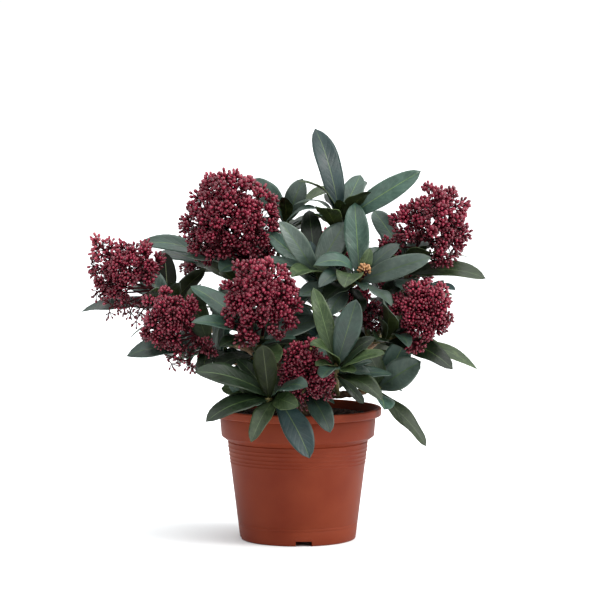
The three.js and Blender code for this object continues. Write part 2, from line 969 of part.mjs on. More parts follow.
function growNamedLeaves(name, shoot, pieces) {
  const curve = twigCurve(shoot);
  shoot.leaves.forEach(([offset, width, arch, facing], i) => {
    const to = vector(shoot.at).add(vector(offset));
    const from = seatOn(curve, whorl.topSeat + whorl.step * i);
    const leaf = { from, to, width, arch, face: vector(facing) };
    for (let k = 0; k < aside.tries; k++) {
      const angle = degrees(aside.step * Math.sqrt(k));
      if (tryLeaf(name, swung(leaf, angle, k * goldenAngle), pieces)) return;
    }
  });
}

function growRuledLeaves(name, shoot, pieces) {
  const curve = twigCurve(shoot);
  const random = makeRandom(Object.keys(shoots).indexOf(name) + 11);
  const axis = curve.getTangentAt(1);
  const side = rightwards.clone().addScaledVector(axis, -axis.x).normalize();
  for (let i = 0; i < shoot.fill; i++) {
    const share = (i + 0.5) / shoot.fill;
    const lift = degrees(THREE.MathUtils.lerp(whorl.topLift, whorl.lowLift, share));
    const length = whorl.length + whorl.lengthSpread * (random() - 0.5);
    const from = seatOn(curve, whorl.topSeat + whorl.stretch * share);
    for (let k = 0; k < whorl.tries; k++) {
      const turn = i * goldenAngle + degrees(shoot.fillTurn + k * whorl.tryTurn);
      const out = side.clone().applyAxisAngle(axis, turn);
      const way = axis.clone().multiplyScalar(Math.cos(lift)).addScaledVector(out, Math.sin(lift));
      const to = from.clone().addScaledVector(way, length);
      const face = axis.clone().addScaledVector(upwards, whorl.faceUp);
      const width = whorl.widthRatio * length;
      const leaf = { from, to, width, arch: blade.arch, face, rows: blade.ruledRows };
      if (to.z < whorl.lowest || leafInOpenAir(leaf)) continue;
      if (tryLeaf(name, leaf, pieces)) break;
    }
  }
}

// ---------------------------------------------------------------- the plant

const plant = new THREE.Group();
const growing = {}; // pieces of each shoot and head until they are fused

const potSolid = makePot();
const soilSolid = makeSoil();
place("pot", "pot", potSolid);
place("soil", "soil", soilSolid);
plant.add(toMesh("pot", potSolid, colours.pot), toMesh("soil", soilSolid, colours.soil));

plant.add(toMesh("main_stem", makeStem(0), colours.bark));
place("main_stem", "limb", makeStem(clearance));

for (const [name, bough] of Object.entries(boughs)) {
  const curve = boughCurve(bough);
  const radius = taper(...bough.radii);
  const solid = fuse([cutClear(name, limb(curve, radius, boughSides, boughRows))]);
  place(name, "limb", limb(curve, radius, boughSides, boughRows, clearance));
  plant.add(toMesh(name, solid, colours.bark));
}

for (const [name, shoot] of Object.entries(shoots)) {
  const curve = twigCurve(shoot);
  const radius = taper(twig.radius, twig.tipRadius);
  growing[name] = [fuse([cutClear(name, limb(curve, radius, twig.sides, twig.rows))])];
  place(name, "limb", limb(curve, radius, twig.sides, twig.rows, clearance));
}

for (const [name, head] of Object.entries(heads)) growing[name] = growHead(name, head);
for (const [name, shoot] of Object.entries(shoots)) growNamedLeaves(name, shoot, growing[name]);
for (const [name, shoot] of Object.entries(shoots)) growRuledLeaves(name, shoot, growing[name]);

for (const name of Object.keys(growing)) {
  plant.add(toMesh(name, fuse(growing[name]), name in heads ? colours.buds : colours.leaf));
}

export default plant;
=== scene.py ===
from math import acos, cos, hypot, pi, radians, sin, sqrt

import bmesh
import bpy
import numpy as np
from mathutils import Matrix, Quaternion, Vector, noise
from mathutils.bvhtree import BVHTree


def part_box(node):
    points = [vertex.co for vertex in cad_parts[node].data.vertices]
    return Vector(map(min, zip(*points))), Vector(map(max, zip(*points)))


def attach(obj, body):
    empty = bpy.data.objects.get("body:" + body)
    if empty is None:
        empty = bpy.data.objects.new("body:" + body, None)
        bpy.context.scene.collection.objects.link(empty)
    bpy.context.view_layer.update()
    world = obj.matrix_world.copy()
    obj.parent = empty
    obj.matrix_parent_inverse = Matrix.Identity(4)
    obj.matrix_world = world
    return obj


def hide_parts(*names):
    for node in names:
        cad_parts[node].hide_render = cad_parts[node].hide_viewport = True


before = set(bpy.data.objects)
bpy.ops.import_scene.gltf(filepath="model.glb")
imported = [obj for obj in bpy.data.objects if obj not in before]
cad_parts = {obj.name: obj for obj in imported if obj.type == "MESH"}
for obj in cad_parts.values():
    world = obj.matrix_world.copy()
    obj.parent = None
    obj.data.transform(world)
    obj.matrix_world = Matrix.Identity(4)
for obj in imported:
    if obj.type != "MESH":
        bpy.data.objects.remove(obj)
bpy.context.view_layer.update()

# Potted skimmia in bud. The plan and the growing rule below are in millimetres, [right, back, up]
# from the middle of the pot's underside, and meshes are made in metres.
mm = 0.001
upwards = Vector((0, 0, 1))
rightwards = Vector((1, 0, 0))
goldenAngle = radians(137.5)


# The stem, from its flat cut at the compost to its fork.
stem = {
    "foot": (6, 6, 105.3),
    "fork": (4, 3, 134),
    "footRadius": 9,
    "forkRadius": 6.5,
    "flare": 5,
    "flareFade": 3,
    "flareCurve": 1.6,
    "sides": 10,
    "rows": 5,
}

# [share of the stem where it leaves, bend, tip, radius at the stem and at the tip]
boughs = {
    "bough_left": (0.8, (-36, -34, 144), (-60, -40, 157), (4.6, 3.4)),
    "bough_far_left": (0.95, (-52, 2, 166), (-84, 6, 182), (4.6, 3.2)),
    "bough_upper_left": (1, (-16, 18, 172), (-34, 24, 205), (4.4, 3.2)),
    "bough_top": (1, (20, 6, 168), (30, 2, 208), (4.8, 3.4)),
    "bough_right": (0.85, (38, -16, 154), (62, -17, 167), (5, 3.6)),
    "bough_low_right": (0.5, (38, -8, 120), (56, -14, 125), (3.6, 2.8)),
    "bough_front": (0.6, (0, -34, 121), (-2, -54, 130), (4.4, 3.4)),
    "bough_back": (0.7, (8, 44, 148), (14, 60, 172), (4.4, 3.2)),
    "bough_back_left": (0.6, (-30, 46, 138), (-48, 62, 156), (4, 3)),
    "bough_back_right": (0.75, (48, 34, 142), (66, 48, 162), (4, 3)),
}

toFront = (0, -1, 0.25)
toBack = (0, 0.9, 0.45)
toSky = (0, -0.6, 0.8)
toTop = (0, 0, 1)
toRight = (0.5, -1, 0.2)

# Each shoot has the tip of its twig, then its leaves as the way from there to the leaf's tip, with the
# leaf's width, arch, facing and look. "fill" more leaves follow by rule.
shoots = {
    "shoot_top": {
        "bough": "bough_top", "at": (35, 10, 273), "fill": 3, "fillTurn": 60,
        "leaves": [
            ((-20, 5, 71), 23, 0.07, toRight, "steel"),
            ((18, 20, 31), 18, 0.05, toFront, "silver"),
            ((68, -10, 35), 19, 0.07, toFront, "silver"),
            ((46, 6, 29), 13, 0.08, toBack, "moss"),
            ((-35, -4, 27), 15, 0.22, toTop, "moss"),
            ((-39, 2, 8), 14, 0.3, toTop, "pewter"),
            ((-47, -16, -7), 15, 0.35, toTop, "slate"),
        ],
    },
    "shoot_crest": {
        "bough": "bough_top", "at": (53, -30, 221), "fill": 2, "fillTurn": 20,
        "leaves": [
            ((-6, 20, 62), 21, 0.03, toFront, "silver"),
            ((14, 18, 24), 14, 0.06, toFront, "silver"),
            ((55, -28, 18), 18, 0.05, toFront, "pewter"),
            ((-40, -15, 12), 19, 0.3, toSky, "silver"),
            ((-11, -45, -4), 22, 0.18, toSky, "moss"),
            ((-35, -32, 3), 17, 0.22, toSky, "slate"),
            ((-31, -30, -17), 19, 0.1, toSky, "bottle"),
        ],
    },
    "shoot_middle": {
        "bough": "bough_top", "at": (13, -20, 227), "fill": 5, "fillTurn": 10,
        "leaves": [
            ((27, 12, 39), 23, 0.05, toFront, "pewter"),
            ((-4, 35, 50), 18, 0.05, toFront, "bottle"),
            ((-27, -24, 41), 18, 0.08, toFront, "pewter"),
            ((-39, 8, 31), 16, 0.08, toFront, "silver"),
            ((-37, -30, 12), 18, 0.1, toSky, "slate"),
            ((-21, -45, -4), 21, 0.14, toSky, "moss"),
        ],
    },
    "shoot_upper_right": {
        "bough": "bough_right", "at": (95, 0, 235), "fill": 3, "fillTurn": 80,
        "leaves": [
            ((-32, 52, 40), 17, 0.05, toFront, "silver"),
            ((-23, 40, 23), 16, 0.08, toFront, "slate"),
            ((51, 30, 5), 14, 0.08, toTop, "moss"),
            ((17, -38, 8), 24, 0.1, toTop, "olive"),
            ((62, -10, -15), 23, 0.1, toSky, "olive"),
            ((-26, -30, -33), 15, 0.06, toSky, "bottle"),
            ((-5, -40, -24), 21, 0.1, toFront, "slate"),
        ],
    },
    "shoot_right": {
        "bough": "bough_right", "at": (84, -25, 173), "fill": 4, "fillTurn": 70,
        "leaves": [
            ((44, 35, 42), 14, 0.06, toFront, "slate"),
            ((14, -47, 0), 13, 0.1, toTop, "slate"),
            ((65, -10, -27), 15, 0.1, toSky, "moss"),
            ((43, -37, -23), 22, 0.09, toSky, "bottle"),
        ],
    },
    "shoot_inner_right": {
        "bough": "bough_right", "at": (56, -8, 182), "fill": 6, "fillTurn": 30, "leaves": [],
    },
    "shoot_low_right": {
        "bough": "bough_low_right", "at": (73, -20, 131), "fill": 3, "fillTurn": 40,
        "leaves": [
            ((14, -8, 40), 22, 0.05, toFront, "silver"),
            ((27, -28, 22), 25, 0.08, toFront, "pewter"),
            ((-17, -30, 32), 16, 0.14, toRight, "olive"),
            ((34, -15, -49), 16, 0.07, toSky, "olive"),
        ],
    },
    "shoot_front_right": {
        "bough": "bough_low_right", "start": 0.55, "at": (31, -92, 155), "fill": 2, "fillTurn": 110,
        "leaves": [
            ((16, -4, 52), 21, 0.03, toFront, "slate"),
            ((-23, 6, 60), 15, 0.04, toFront, "moss"),
            ((-24, -26, 14), 19, 0.14, toSky, "moss"),
            ((38, -23, 11), 15, 0.08, toSky, "moss"),
            ((25, 32, 17), 17, 0.08, toSky, "olive"),
            ((37, -18, -26), 17, 0.1, toSky, "olive"),
            ((23, 16, -34), 8, 0.1, toFront, "bottle"),
        ],
    },
    "shoot_inner": {
        "bough": "bough_top", "start": 0.5, "at": (18, -20, 167), "fill": 5, "fillTurn": 45, "leaves": [],
    },
    "shoot_front_low": {
        "bough": "bough_front", "at": (-25, -95, 126), "fill": 0, "fillTurn": 90,
        "leaves": [
            ((-3, -21, 47), 19, 0.03, toBack, "olive"),
            ((-24, 15, 33), 15, 0.06, toSky, "bottle"),
            ((32, -35, 16), 19, 0.1, toSky, "slate"),
            ((-56, -23, 27), 23, 0.07, toSky, "bottle"),
            ((-48, -33, -11), 21, 0.08, toSky, "bottle"),
            ((35, -17, -44), 23, 0.07, toSky, "steel"),
            ((-12, -35, -29), 15, 0.1, toSky, "olive"),
        ],
    },
    "shoot_front": {
        "bough": "bough_front", "at": (10, -60, 132), "fill": 4, "fillTurn": 130,
        "leaves": [((13, -35, -30), 18, 0.08, toSky, "slate")],
    },
    "shoot_front_left": {
        "bough": "bough_left", "start": 0.75, "at": (-29, -58, 175), "fill": 5, "fillTurn": 10,
        "leaves": [
            ((-59, 18, 40), 19, 0.06, toSky, "silver"),
            ((-56, -34, 15), 19, 0.08, toSky, "silver"),
            ((-31, -37, -7), 18, 0.12, toSky, "bottle"),
            ((13, -46, -17), 21, 0.06, toSky, "moss"),
        ],
    },
    "shoot_left": {
        "bough": "bough_left", "at": (-76, -50, 167), "fill": 4, "fillTurn": 50,
        "leaves": [
            ((-2, -30, -23), 13, 0.1, toSky, "bottle"),
            ((20, -25, -21), 16, 0.1, toSky, "bottle"),
            ((-64, -10, -4), 21, 0.08, toSky, "slate"),
        ],
    },
    "shoot_far_left": {
        "bough": "bough_far_left", "at": (-111, 0, 200), "fill": 4, "fillTurn": 100,
        "leaves": [
            # This leaf is painted near-black: painted shade on a leaf that faces away from the light.
            ((-2, 36, 38), 17, 0.03, toBack, "shade"),
            ((33, 10, 25), 15, 0.08, toBack, "bottle"),
            ((-71, 2, -8), 19, 0.08, toSky, "slate"),
        ],
    },
    "shoot_upper_left": {
        "bough": "bough_upper_left", "at": (-44, 5, 229), "fill": 6, "fillTurn": 65,
        "leaves": [((-20, -40, -2), 19, 0.1, toSky, "slate")],
    },
    "shoot_left_back": {
        "bough": "bough_upper_left", "start": 0.85, "at": (-62, 54, 226), "fill": 4, "fillTurn": 150,
        "leaves": [
            ((-74, -2, 26), 17, 0.12, toSky, "silver"),
            ((-62, -10, 10), 18, 0.1, toSky, "silver"),
        ],
    },
    "shoot_top_back": {
        "bough": "bough_upper_left", "at": (-8, 38, 270), "fill": 6, "fillTurn": 20,
        "leaves": [
            ((-30, -6, 31), 21, 0.05, toFront, "silver"),
            ((12, -12, 31), 18, 0.1, toFront, "pewter"),
        ],
    },
    "shoot_back": {
        "bough": "bough_back", "at": (22, 88, 206), "fill": 7, "fillTurn": 0, "leaves": [],
    },
    "shoot_back_inner": {
        "bough": "bough_back", "start": 0.7, "at": (-10, 84, 150), "fill": 3, "fillTurn": 35, "leaves": [],
    },
    "shoot_back_left": {
        "bough": "bough_back_left", "at": (-46, 84, 196), "fill": 7, "fillTurn": 70, "leaves": [],
    },
    "shoot_low_back_left": {
        "bough": "bough_back_left", "at": (-92, 64, 170), "fill": 7, "fillTurn": 15, "leaves": [],
    },
    "shoot_back_right": {
        "bough": "bough_back_right", "at": (82, 72, 188), "fill": 7, "fillTurn": 55, "leaves": [],
    },
    "shoot_low_back_right": {
        "bough": "bough_back_right", "start": 0.8, "at": (58, 76, 142), "fill": 7, "fillTurn": 95,
        "leaves": [],
    },
}

# Bud heads over their shoots: a dome of clusters, and a few clusters that stand beside it.
# Only the fine buds use "budSize", "fineness", "mixture", "loose" and "sprays" (the kind of each spray).
heads = {
    "head_upper_left": {
        "shoot": "shoot_upper_left", "centre": (-56, 3, 265), "radius": 43, "height": 47, "peak": 0.7,
        "core": (30, 27, 32), "clusters": 12, "clusterRadius": 10,
        "beside": [
            ((-84, 2, 249), 9),
            ((-48, 8, 237), 8),
            ((-27, 4, 240), 8),
        ],
    },
    "head_front_left": {
        "shoot": "shoot_front_left", "centre": (-30, -75, 204), "radius": 34, "height": 37,
        "core": (28, 22, 29), "clusters": 9, "clusterRadius": 9, "beside": [((-44, -90, 176), 6)],
    },
    "head_far_left": {
        "shoot": "shoot_far_left", "centre": (-141, -10, 225), "radius": 33, "height": 25,
        "clusters": 7, "clusterRadius": 9,
        "budSize": 0.85, "fineness": 0.9, "loose": True,
        "sprays": ("rosy", "usual", "usual", "thin", "thin", "thin"),
        "beside": [
            ((-164, -8, 246), 9),
            ((-172, -12, 231), 7),
            ((-167, -14, 208), 8),
            ((-155, -32, 196), 7),
            ((-141, -34, 196), 7),
            ((-130, -34, 191), 7),
        ],
    },
    "head_left": {
        "shoot": "shoot_left", "centre": (-104, -60, 188), "radius": 28, "height": 26,
        "core": (21, 17, 18), "clusters": 8, "clusterRadius": 8,
        "budSize": 0.82, "fineness": 0.92, "loose": True, "sprays": ("thin", "thin", "usual", "usual"),
        "beside": [
            ((-105, -68, 156), 7),
            ((-89, -70, 154), 7),
            ((-112, -66, 169), 7),
            ((-74, -74, 167), 7),
        ],
    },
    "head_front": {
        "shoot": "shoot_front", "centre": (8, -82, 148), "radius": 28, "height": 30, "depth": 0.7,
        "core": (22, 15, 22), "clusters": 8, "clusterRadius": 8,
        "budSize": 0.84, "fineness": 0.88, "mixture": "flecked",
        "beside": [
            ((-1, -74, 125), 7),
            ((21, -82, 131), 7),
        ],
    },
    "head_upper_right": {
        "shoot": "shoot_upper_right", "centre": (113, 0, 262), "radius": 34, "height": 38, "peak": 0.7,
        "clusters": 9, "clusterRadius": 9,
        "fineness": 0.9, "loose": True,
        "beside": [
            ((72, -6, 249), 8),
            ((118, -20, 231), 8),
        ],
    },
    "head_right": {
        "shoot": "shoot_right", "centre": (103, -42, 193), "radius": 28, "height": 28,
        "core": (20, 16, 20), "clusters": 8, "clusterRadius": 8, "budSize": 0.85,
        "beside": [((97, -60, 167), 6)],
    },
    "head_inner_right": {
        "shoot": "shoot_inner_right", "centre": (48, -12, 204), "radius": 15, "height": 12,
        "clusters": 3, "clusterRadius": 6,
        "budSize": 0.85, "fineness": 0.9,
        "beside": [
            ((37, -18, 194), 6),
            ((61, -18, 196), 6),
            ((74, -20, 185), 7),
            ((57, -18, 180), 5),
        ],
    },
    "head_left_back": {
        "shoot": "shoot_left_back", "centre": (-88, 76, 228), "radius": 16, "height": 12,
        "clusters": 3, "clusterRadius": 7.5, "beside": [((-96, 72, 242), 7)],
    },
    "head_crest": {
        "shoot": "shoot_crest", "centre": (54, -37, 228), "radius": 6, "height": 5,
        "clusters": 1, "clusterRadius": 5,
        "budSize": 0.8, "mixture": "fresh", "beside": [],
    },
    "head_back": {
        "shoot": "shoot_back", "centre": (27, 102, 232), "radius": 26, "height": 23,
        "core": (20, 20, 18), "clusters": 5, "clusterRadius": 8, "beside": [],
    },
    "head_back_left": {
        "shoot": "shoot_back_left", "centre": (-46, 98, 220), "radius": 24, "height": 21,
        "core": (19, 19, 16), "clusters": 5, "clusterRadius": 8, "beside": [],
    },
    "head_back_right": {
        "shoot": "shoot_back_right", "centre": (90, 86, 212), "radius": 26, "height": 23,
        "core": (20, 20, 18), "clusters": 5, "clusterRadius": 8, "beside": [],
    },
    "head_low_back_left": {
        "shoot": "shoot_low_back_left", "centre": (-104, 68, 192), "radius": 20, "height": 18,
        "core": (16, 16, 14), "clusters": 4, "clusterRadius": 7, "beside": [],
    },
}

# Open spaces of the crown seen from the front: [right, up, radius] in the plane of the pot's axis.
viewFrom = (2, -2200, 350)
openAir = [
    (-140, 292, 38), (-52, 354, 35), (-15, 325, 23), (68, 338, 28), (177, 271, 28), (156, 188, 20),
    (132, 108, 21), (-115, 116, 28), (-170, 158, 20), (-199, 225, 17), (152, 309, 17), (-123, 275, 15),
    (118, 313, 17), (-149, 205, 5), (-102, 221, 5), (-71, 214, 8), (-68, 151, 7), (67, 252, 6),
    (62, 180, 7), (50, 121, 10), (111, 132, 13), (106, 116, 10), (92, 117, 6), (-128, 143, 10),
    (15, 294, 9), (7, 273, 3),
]

growth = {
    "clearance": 0.3,
    "leafRoom": 0.4,
    "twigRadii": (2.1, 1.7),
    "boughFaces": (6, 5),
    "twigFaces": (4, 3),
    "stalkFaces": (4, 2),
    "sprayFaces": (3, 1),
    "twigStart": 0.97,
    "twigBendOut": 0.62,
    "twigBendUp": 0.3,
    "stalkRadii": (1.5, 1),
    "stalkBendUp": 0.4,
    "topFork": 0.95,
    "forks": 0.6,
    "sprayRadii": (0.9, 0.7),
    "domeCrown": 0.4,
    "domeReachDown": 1.5,
    "domeUpright": 0.6,
    "bladeThickness": 1.2,
    "bladeStalk": 2,
    "bladeArch": 0.07,
    "bladeFold": 0.16,
    "bladeApart": 0.35,
    "rows": 3,
    "ruledRows": 2,
    "tipRows": 0.12,
    "widest": 1.25,
    "blunt": 0.66,
    "rootOut": 0.8,
    "stretch": 26,
    "step": 2.5,
    "topSeat": 4,
    "lowestSeat": 0.05,
    "lifts": (38, 98),
    "length": 60,
    "lengthSpread": 16,
    "widthRatio": 0.35,
    "tries": 5,
    "tryTurn": 27,
    "faceUp": 0.6,
    "lowest": 114,
    "airChecks": (0.45, 0.6, 0.75, 0.9, 1),
    "seed": 11,
    "asideTries": 22,
    "asideStep": 3.2,
}


def mix(a, b, share):
    return a + (b - a) * share


def makeRandom(seed):
    state = seed

    def draw(low=0, high=1):
        nonlocal state
        state = (1664525 * state + 1013904223) % 4294967296
        return low + (high - low) * state / 4294967296

    return draw


# Curves that limbs follow, measured along their length.
def bezier(a, b, c):
    a, b, c = Vector(a), Vector(b), Vector(c)
    steps = np.linspace(0, 1, 201)[:, None]
    line = (1 - steps) ** 2 * np.array(a) + 2 * steps * (1 - steps) * np.array(b) + steps ** 2 * np.array(c)
    lengths = np.concatenate([[0], np.cumsum(np.linalg.norm(np.diff(line, axis=0), axis=1))])
    return {"ends": (a, b, c), "lengths": lengths, "steps": steps[:, 0]}


def straight(a, c):
    return bezier(a, (Vector(a) + Vector(c)) / 2, c)


def pointOn(curve, t):
    a, b, c = curve["ends"]
    return (1 - t) ** 2 * a + 2 * t * (1 - t) * b + t ** 2 * c


def wayOn(curve, t):
    a, b, c = curve["ends"]
    return ((1 - t) * (b - a) + t * (c - b)).normalized()


def measured(curve, share):  # the curve's own parameter at a share of its length
    return float(np.interp(share * curve["lengths"][-1], curve["lengths"], curve["steps"]))


def pointAt(curve, share):
    return pointOn(curve, measured(curve, share))


def wayAt(curve, share):
    return wayOn(curve, measured(curve, share))


def framesOn(curve, rows):  # two directions across the curve in each row, with no twist between rows
    ways = [wayAt(curve, row / rows) for row in range(rows + 1)]
    least = min(range(3), key=lambda axis: (abs(ways[0][axis]), -axis))
    axis = Vector([float(k == least) for k in range(3)])
    side = ways[0].cross(ways[0].cross(axis).normalized())
    frames = [(side, ways[0].cross(side))]
    for before, way in zip(ways, ways[1:]):
        hinge = before.cross(way)
        if hinge.length > 1e-9:
            side = Quaternion(hinge.normalized(), acos(min(before.dot(way), 1))) @ side
        frames.append((side, way.cross(side)))
    return frames


def boughCurve(name):
    share, bend, tip, _ = boughs[name]
    return bezier(Vector(stem["foot"]).lerp(Vector(stem["fork"]), share), bend, tip)


def twigCurve(shoot):
    start = pointAt(boughCurve(shoot["bough"]), shoot.get("start", growth["twigStart"]))
    to = Vector(shoot["at"])
    bend = start.lerp(to, growth["twigBendOut"])
    bend.z = mix(start.z, to.z, growth["twigBendUp"])
    return bezier(start, bend, to)


def stemRadius(share):
    flare = stem["flare"] * max(1 - stem["flareFade"] * share, 0) ** stem["flareCurve"]
    return mix(stem["footRadius"], stem["forkRadius"], share) + flare


def taper(radii):
    return lambda share: mix(radii[0], radii[1], share)


# Room in the crown: a coarse shell of each limb, lump and leaf that grows already.
placed = []


def shellOf(rings, pointed=False):  # rings run from the tip to the root
    count = len(rings[0])
    corners = [corner for ring in rings for corner in ring]
    faces = []
    for row in range(len(rings) - 1):
        for k in range(count):
            a, d = row * count + k, row * count + (k + 1) % count
            if not (pointed and row == 0):
                faces.append((a, a + count, d))
            faces.append((a + count, d + count, d))
    if not pointed:
        faces.append(tuple(range(count)))
    faces.append(tuple(range(len(corners) - count, len(corners))))
    return corners, faces


def treeOf(shell):
    corners, faces = shell
    return BVHTree.FromPolygons(corners, faces)


def place(node, kind, shell, outer=None):
    corners = np.array(shell[0])
    tree = treeOf(shell)
    placed.append({
        "node": node, "kind": kind, "tree": tree, "outer": treeOf(outer) if outer else tree,
        "low": corners.min(0), "high": corners.max(0),
    })


def isClear(node, shell, outer=None):
    corners = np.array(shell[0])
    low, high = corners.min(0), corners.max(0)
    tree = treeOf(shell)
    outerTree = treeOf(outer) if outer else None
    for other in placed:
        if (low >= other["high"]).any() or (other["low"] >= high).any():
            continue
        if other["node"] != node:
            if tree.overlap(other["tree"]):
                return False
        elif outerTree and other["kind"] == "leaf" and outerTree.overlap(other["outer"]):
            return False
    return True


def limbShell(curve, radiusAt, sides, rows, grow=0):
    frames = framesOn(curve, rows)
    rings = []
    for row in range(rows, -1, -1):
        share = row / rows
        point = pointAt(curve, share)
        if row == rows:
            point = point + wayAt(curve, 1) * grow
        if row == 0:
            point = point - wayAt(curve, 0) * grow
        side, other = frames[row]
        radius = radiusAt(share) + grow
        turns = [2 * pi * k / sides for k in range(sides)]
        rings.append([point + other * sin(turn) * radius + side * cos(turn) * radius for turn in turns])
    return shellOf(rings)


def halfBreadth(along, width):
    swell = max(sin(pi * along ** growth["widest"]), 0) ** growth["blunt"]
    stalkHalf = growth["bladeStalk"] / 2
    return stalkHalf + (width / 2 - stalkHalf) * swell


def bladeLines(leaf):  # the rib's curve and the direction across the blade
    chord = leaf["to"] - leaf["from"]
    way = chord.normalized()
    face = (leaf["face"] - way * leaf["face"].dot(way)).normalized()
    middle = (leaf["from"] + leaf["to"]) / 2 + face * 2 * leaf["arch"] * chord.length
    return bezier(leaf["from"], middle, leaf["to"]), way.cross(face)


def bladeShell(leaf, begin=0, grow=0):
    rib, side = bladeLines(leaf)
    rings = []
    for row in range(leaf["rows"], -1, -1):
        share = row / leaf["rows"]
        t = begin + (1 - begin) * share * (1 + growth["tipRows"] * (1 - share))
        tangent = wayOn(rib, t)
        normal = side.cross(tangent)
        breadth = halfBreadth(t, leaf["width"]) + grow
        ring = []
        for across, above in ((0, 1), (1, 0), (0, -1), (-1, 0)):
            thick = growth["bladeThickness"] / 2 + grow
            rise = above * thick + abs(across) * breadth * growth["bladeFold"]
            ring.append(pointOn(rib, t) + side * across * breadth + normal * rise)
        rings.append([pointOn(rib, 1) + tangent * grow] * 4 if share == 1 else ring)
    return shellOf(rings, pointed=True)


def lumpShape(detail):  # an icosahedron, once more divided with more detail
    ratio = (1 + sqrt(5)) / 2
    bm = bmesh.new()
    for a in (-1, 1):
        for b in (-ratio, ratio):
            for corner in ((a, b, 0), (0, a, b), (b, 0, a)):
                bm.verts.new(Vector(corner).normalized())
    bmesh.ops.convex_hull(bm, input=bm.verts[:])
    for _ in range(detail):
        bmesh.ops.subdivide_edges(bm, edges=bm.edges[:], cuts=1, use_grid_fill=True)
    bm.verts.index_update()
    corners = [vert.co.normalized() for vert in bm.verts]
    faces = [tuple(vert.index for vert in face.verts) for face in bm.faces]
    bm.free()
    return corners, faces


lumpShapes = [lumpShape(0), lumpShape(1)]


def lumpShell(at, radii, detail, turn):
    corners, faces = lumpShapes[detail]
    spin = Matrix.Rotation(turn, 3, "X") @ Matrix.Rotation(turn, 3, "Z")
    return [at + Vector(radii) * (spin @ corner) for corner in corners], faces


def inOpenAir(point):
    nearness = viewFrom[1] / (viewFrom[1] - point.y)
    right = viewFrom[0] + (point.x - viewFrom[0]) * nearness
    up = viewFrom[2] + (point.z - viewFrom[2]) * nearness
    return any(hypot(right - x, up - z) < radius for x, z, radius in openAir)


def domePlaces(head, tip, count, size, down=growth["domeReachDown"]):  # at the golden angle, from the crown
    centre = Vector(head["centre"])
    axis = ((centre - tip).normalized() + upwards * growth["domeUpright"]).normalized()
    side = (rightwards - axis * axis.x).normalized()
    other = axis.cross(side)
    places = []
    for i in range(count):
        rise = 1 - (i + growth["domeCrown"]) * down / count
        narrowing = 0.5 * (1 + head.get("peak", 0) * max(rise, 0))
        spread = (1 - rise * rise) ** narrowing * (head["radius"] - size)
        turn = i * goldenAngle
        places.append(
            centre + axis * rise * (head["height"] - size)
            + side * cos(turn) * spread + other * sin(turn) * spread * head.get("depth", 1)
        )
    return places


def stalkCurve(head):
    shoot = shoots[head["shoot"]]
    tip, centre = Vector(shoot["at"]), Vector(head["centre"])
    way = wayAt(twigCurve(shoot), 1)
    bend = tip + way * (centre - tip).length * growth["stalkBendUp"]
    return bezier(tip + way * growth["clearance"], bend, centre)


def placeHead(name, head):
    near = growth["clearance"]
    tip, centre = Vector(shoots[head["shoot"]]["at"]), Vector(head["centre"])
    rachis = stalkCurve(head)
    place(name, "stalk", limbShell(rachis, taper(growth["stalkRadii"]), *growth["stalkFaces"], near))
    if "core" in head:
        place(name, "buds", lumpShell(centre, [size + near for size in head["core"]], 1, 0))
    spots = [(at, head["clusterRadius"], "core" not in head)
             for at in domePlaces(head, tip, head["clusters"], head["clusterRadius"])]
    spots += [(Vector(at), size, True) for at, size in head["beside"]]
    for i, (at, size, free) in enumerate(spots):
        lump = lumpShell(at, [size + near] * 3, 0, i)
        arm = straight(pointOn(rachis, growth["topFork"] - growth["forks"] * i / len(spots)), at)
        branch = limbShell(arm, taper(growth["sprayRadii"]), *growth["sprayFaces"], near)
        if not isClear(name, lump) or free and not isClear(name, branch):
            continue
        place(name, "buds", lump)
        if free:
            place(name, "stalk", branch)


def swung(leaf, angle, turn):  # the same leaf, swung aside in a direction round its own line
    chord = leaf["to"] - leaf["from"]
    hinge = Quaternion(chord.normalized(), turn) @ leaf["face"].cross(chord).normalized()
    return {**leaf, "to": leaf["from"] + Quaternion(hinge, angle) @ chord}


grownLeaves = {name: [] for name in shoots}


def tryLeaf(name, leaf):
    room = bladeShell(leaf, 0, growth["leafRoom"])
    outer = bladeShell(leaf, growth["bladeApart"], growth["clearance"])
    if not isClear(name, room, outer):
        return False
    place(name, "leaf", room, outer)
    way = (leaf["to"] - leaf["from"]).normalized()
    grownLeaves[name].append({**leaf, "from": leaf["from"] + way * growth["rootOut"]})
    return True


def seatOn(curve, below):
    return pointAt(curve, max(1 - below / curve["lengths"][-1], growth["lowestSeat"]))


def growNamedLeaves(name, shoot):
    curve = twigCurve(shoot)
    for i, (offset, width, arch, facing, look) in enumerate(shoot["leaves"]):
        leaf = {
            "from": seatOn(curve, growth["topSeat"] + growth["step"] * i),
            "to": Vector(shoot["at"]) + Vector(offset),
            "width": width, "arch": arch, "face": Vector(facing), "rows": growth["rows"], "look": look,
        }
        for k in range(growth["asideTries"]):
            if tryLeaf(name, swung(leaf, radians(growth["asideStep"] * sqrt(k)), k * goldenAngle)):
                break


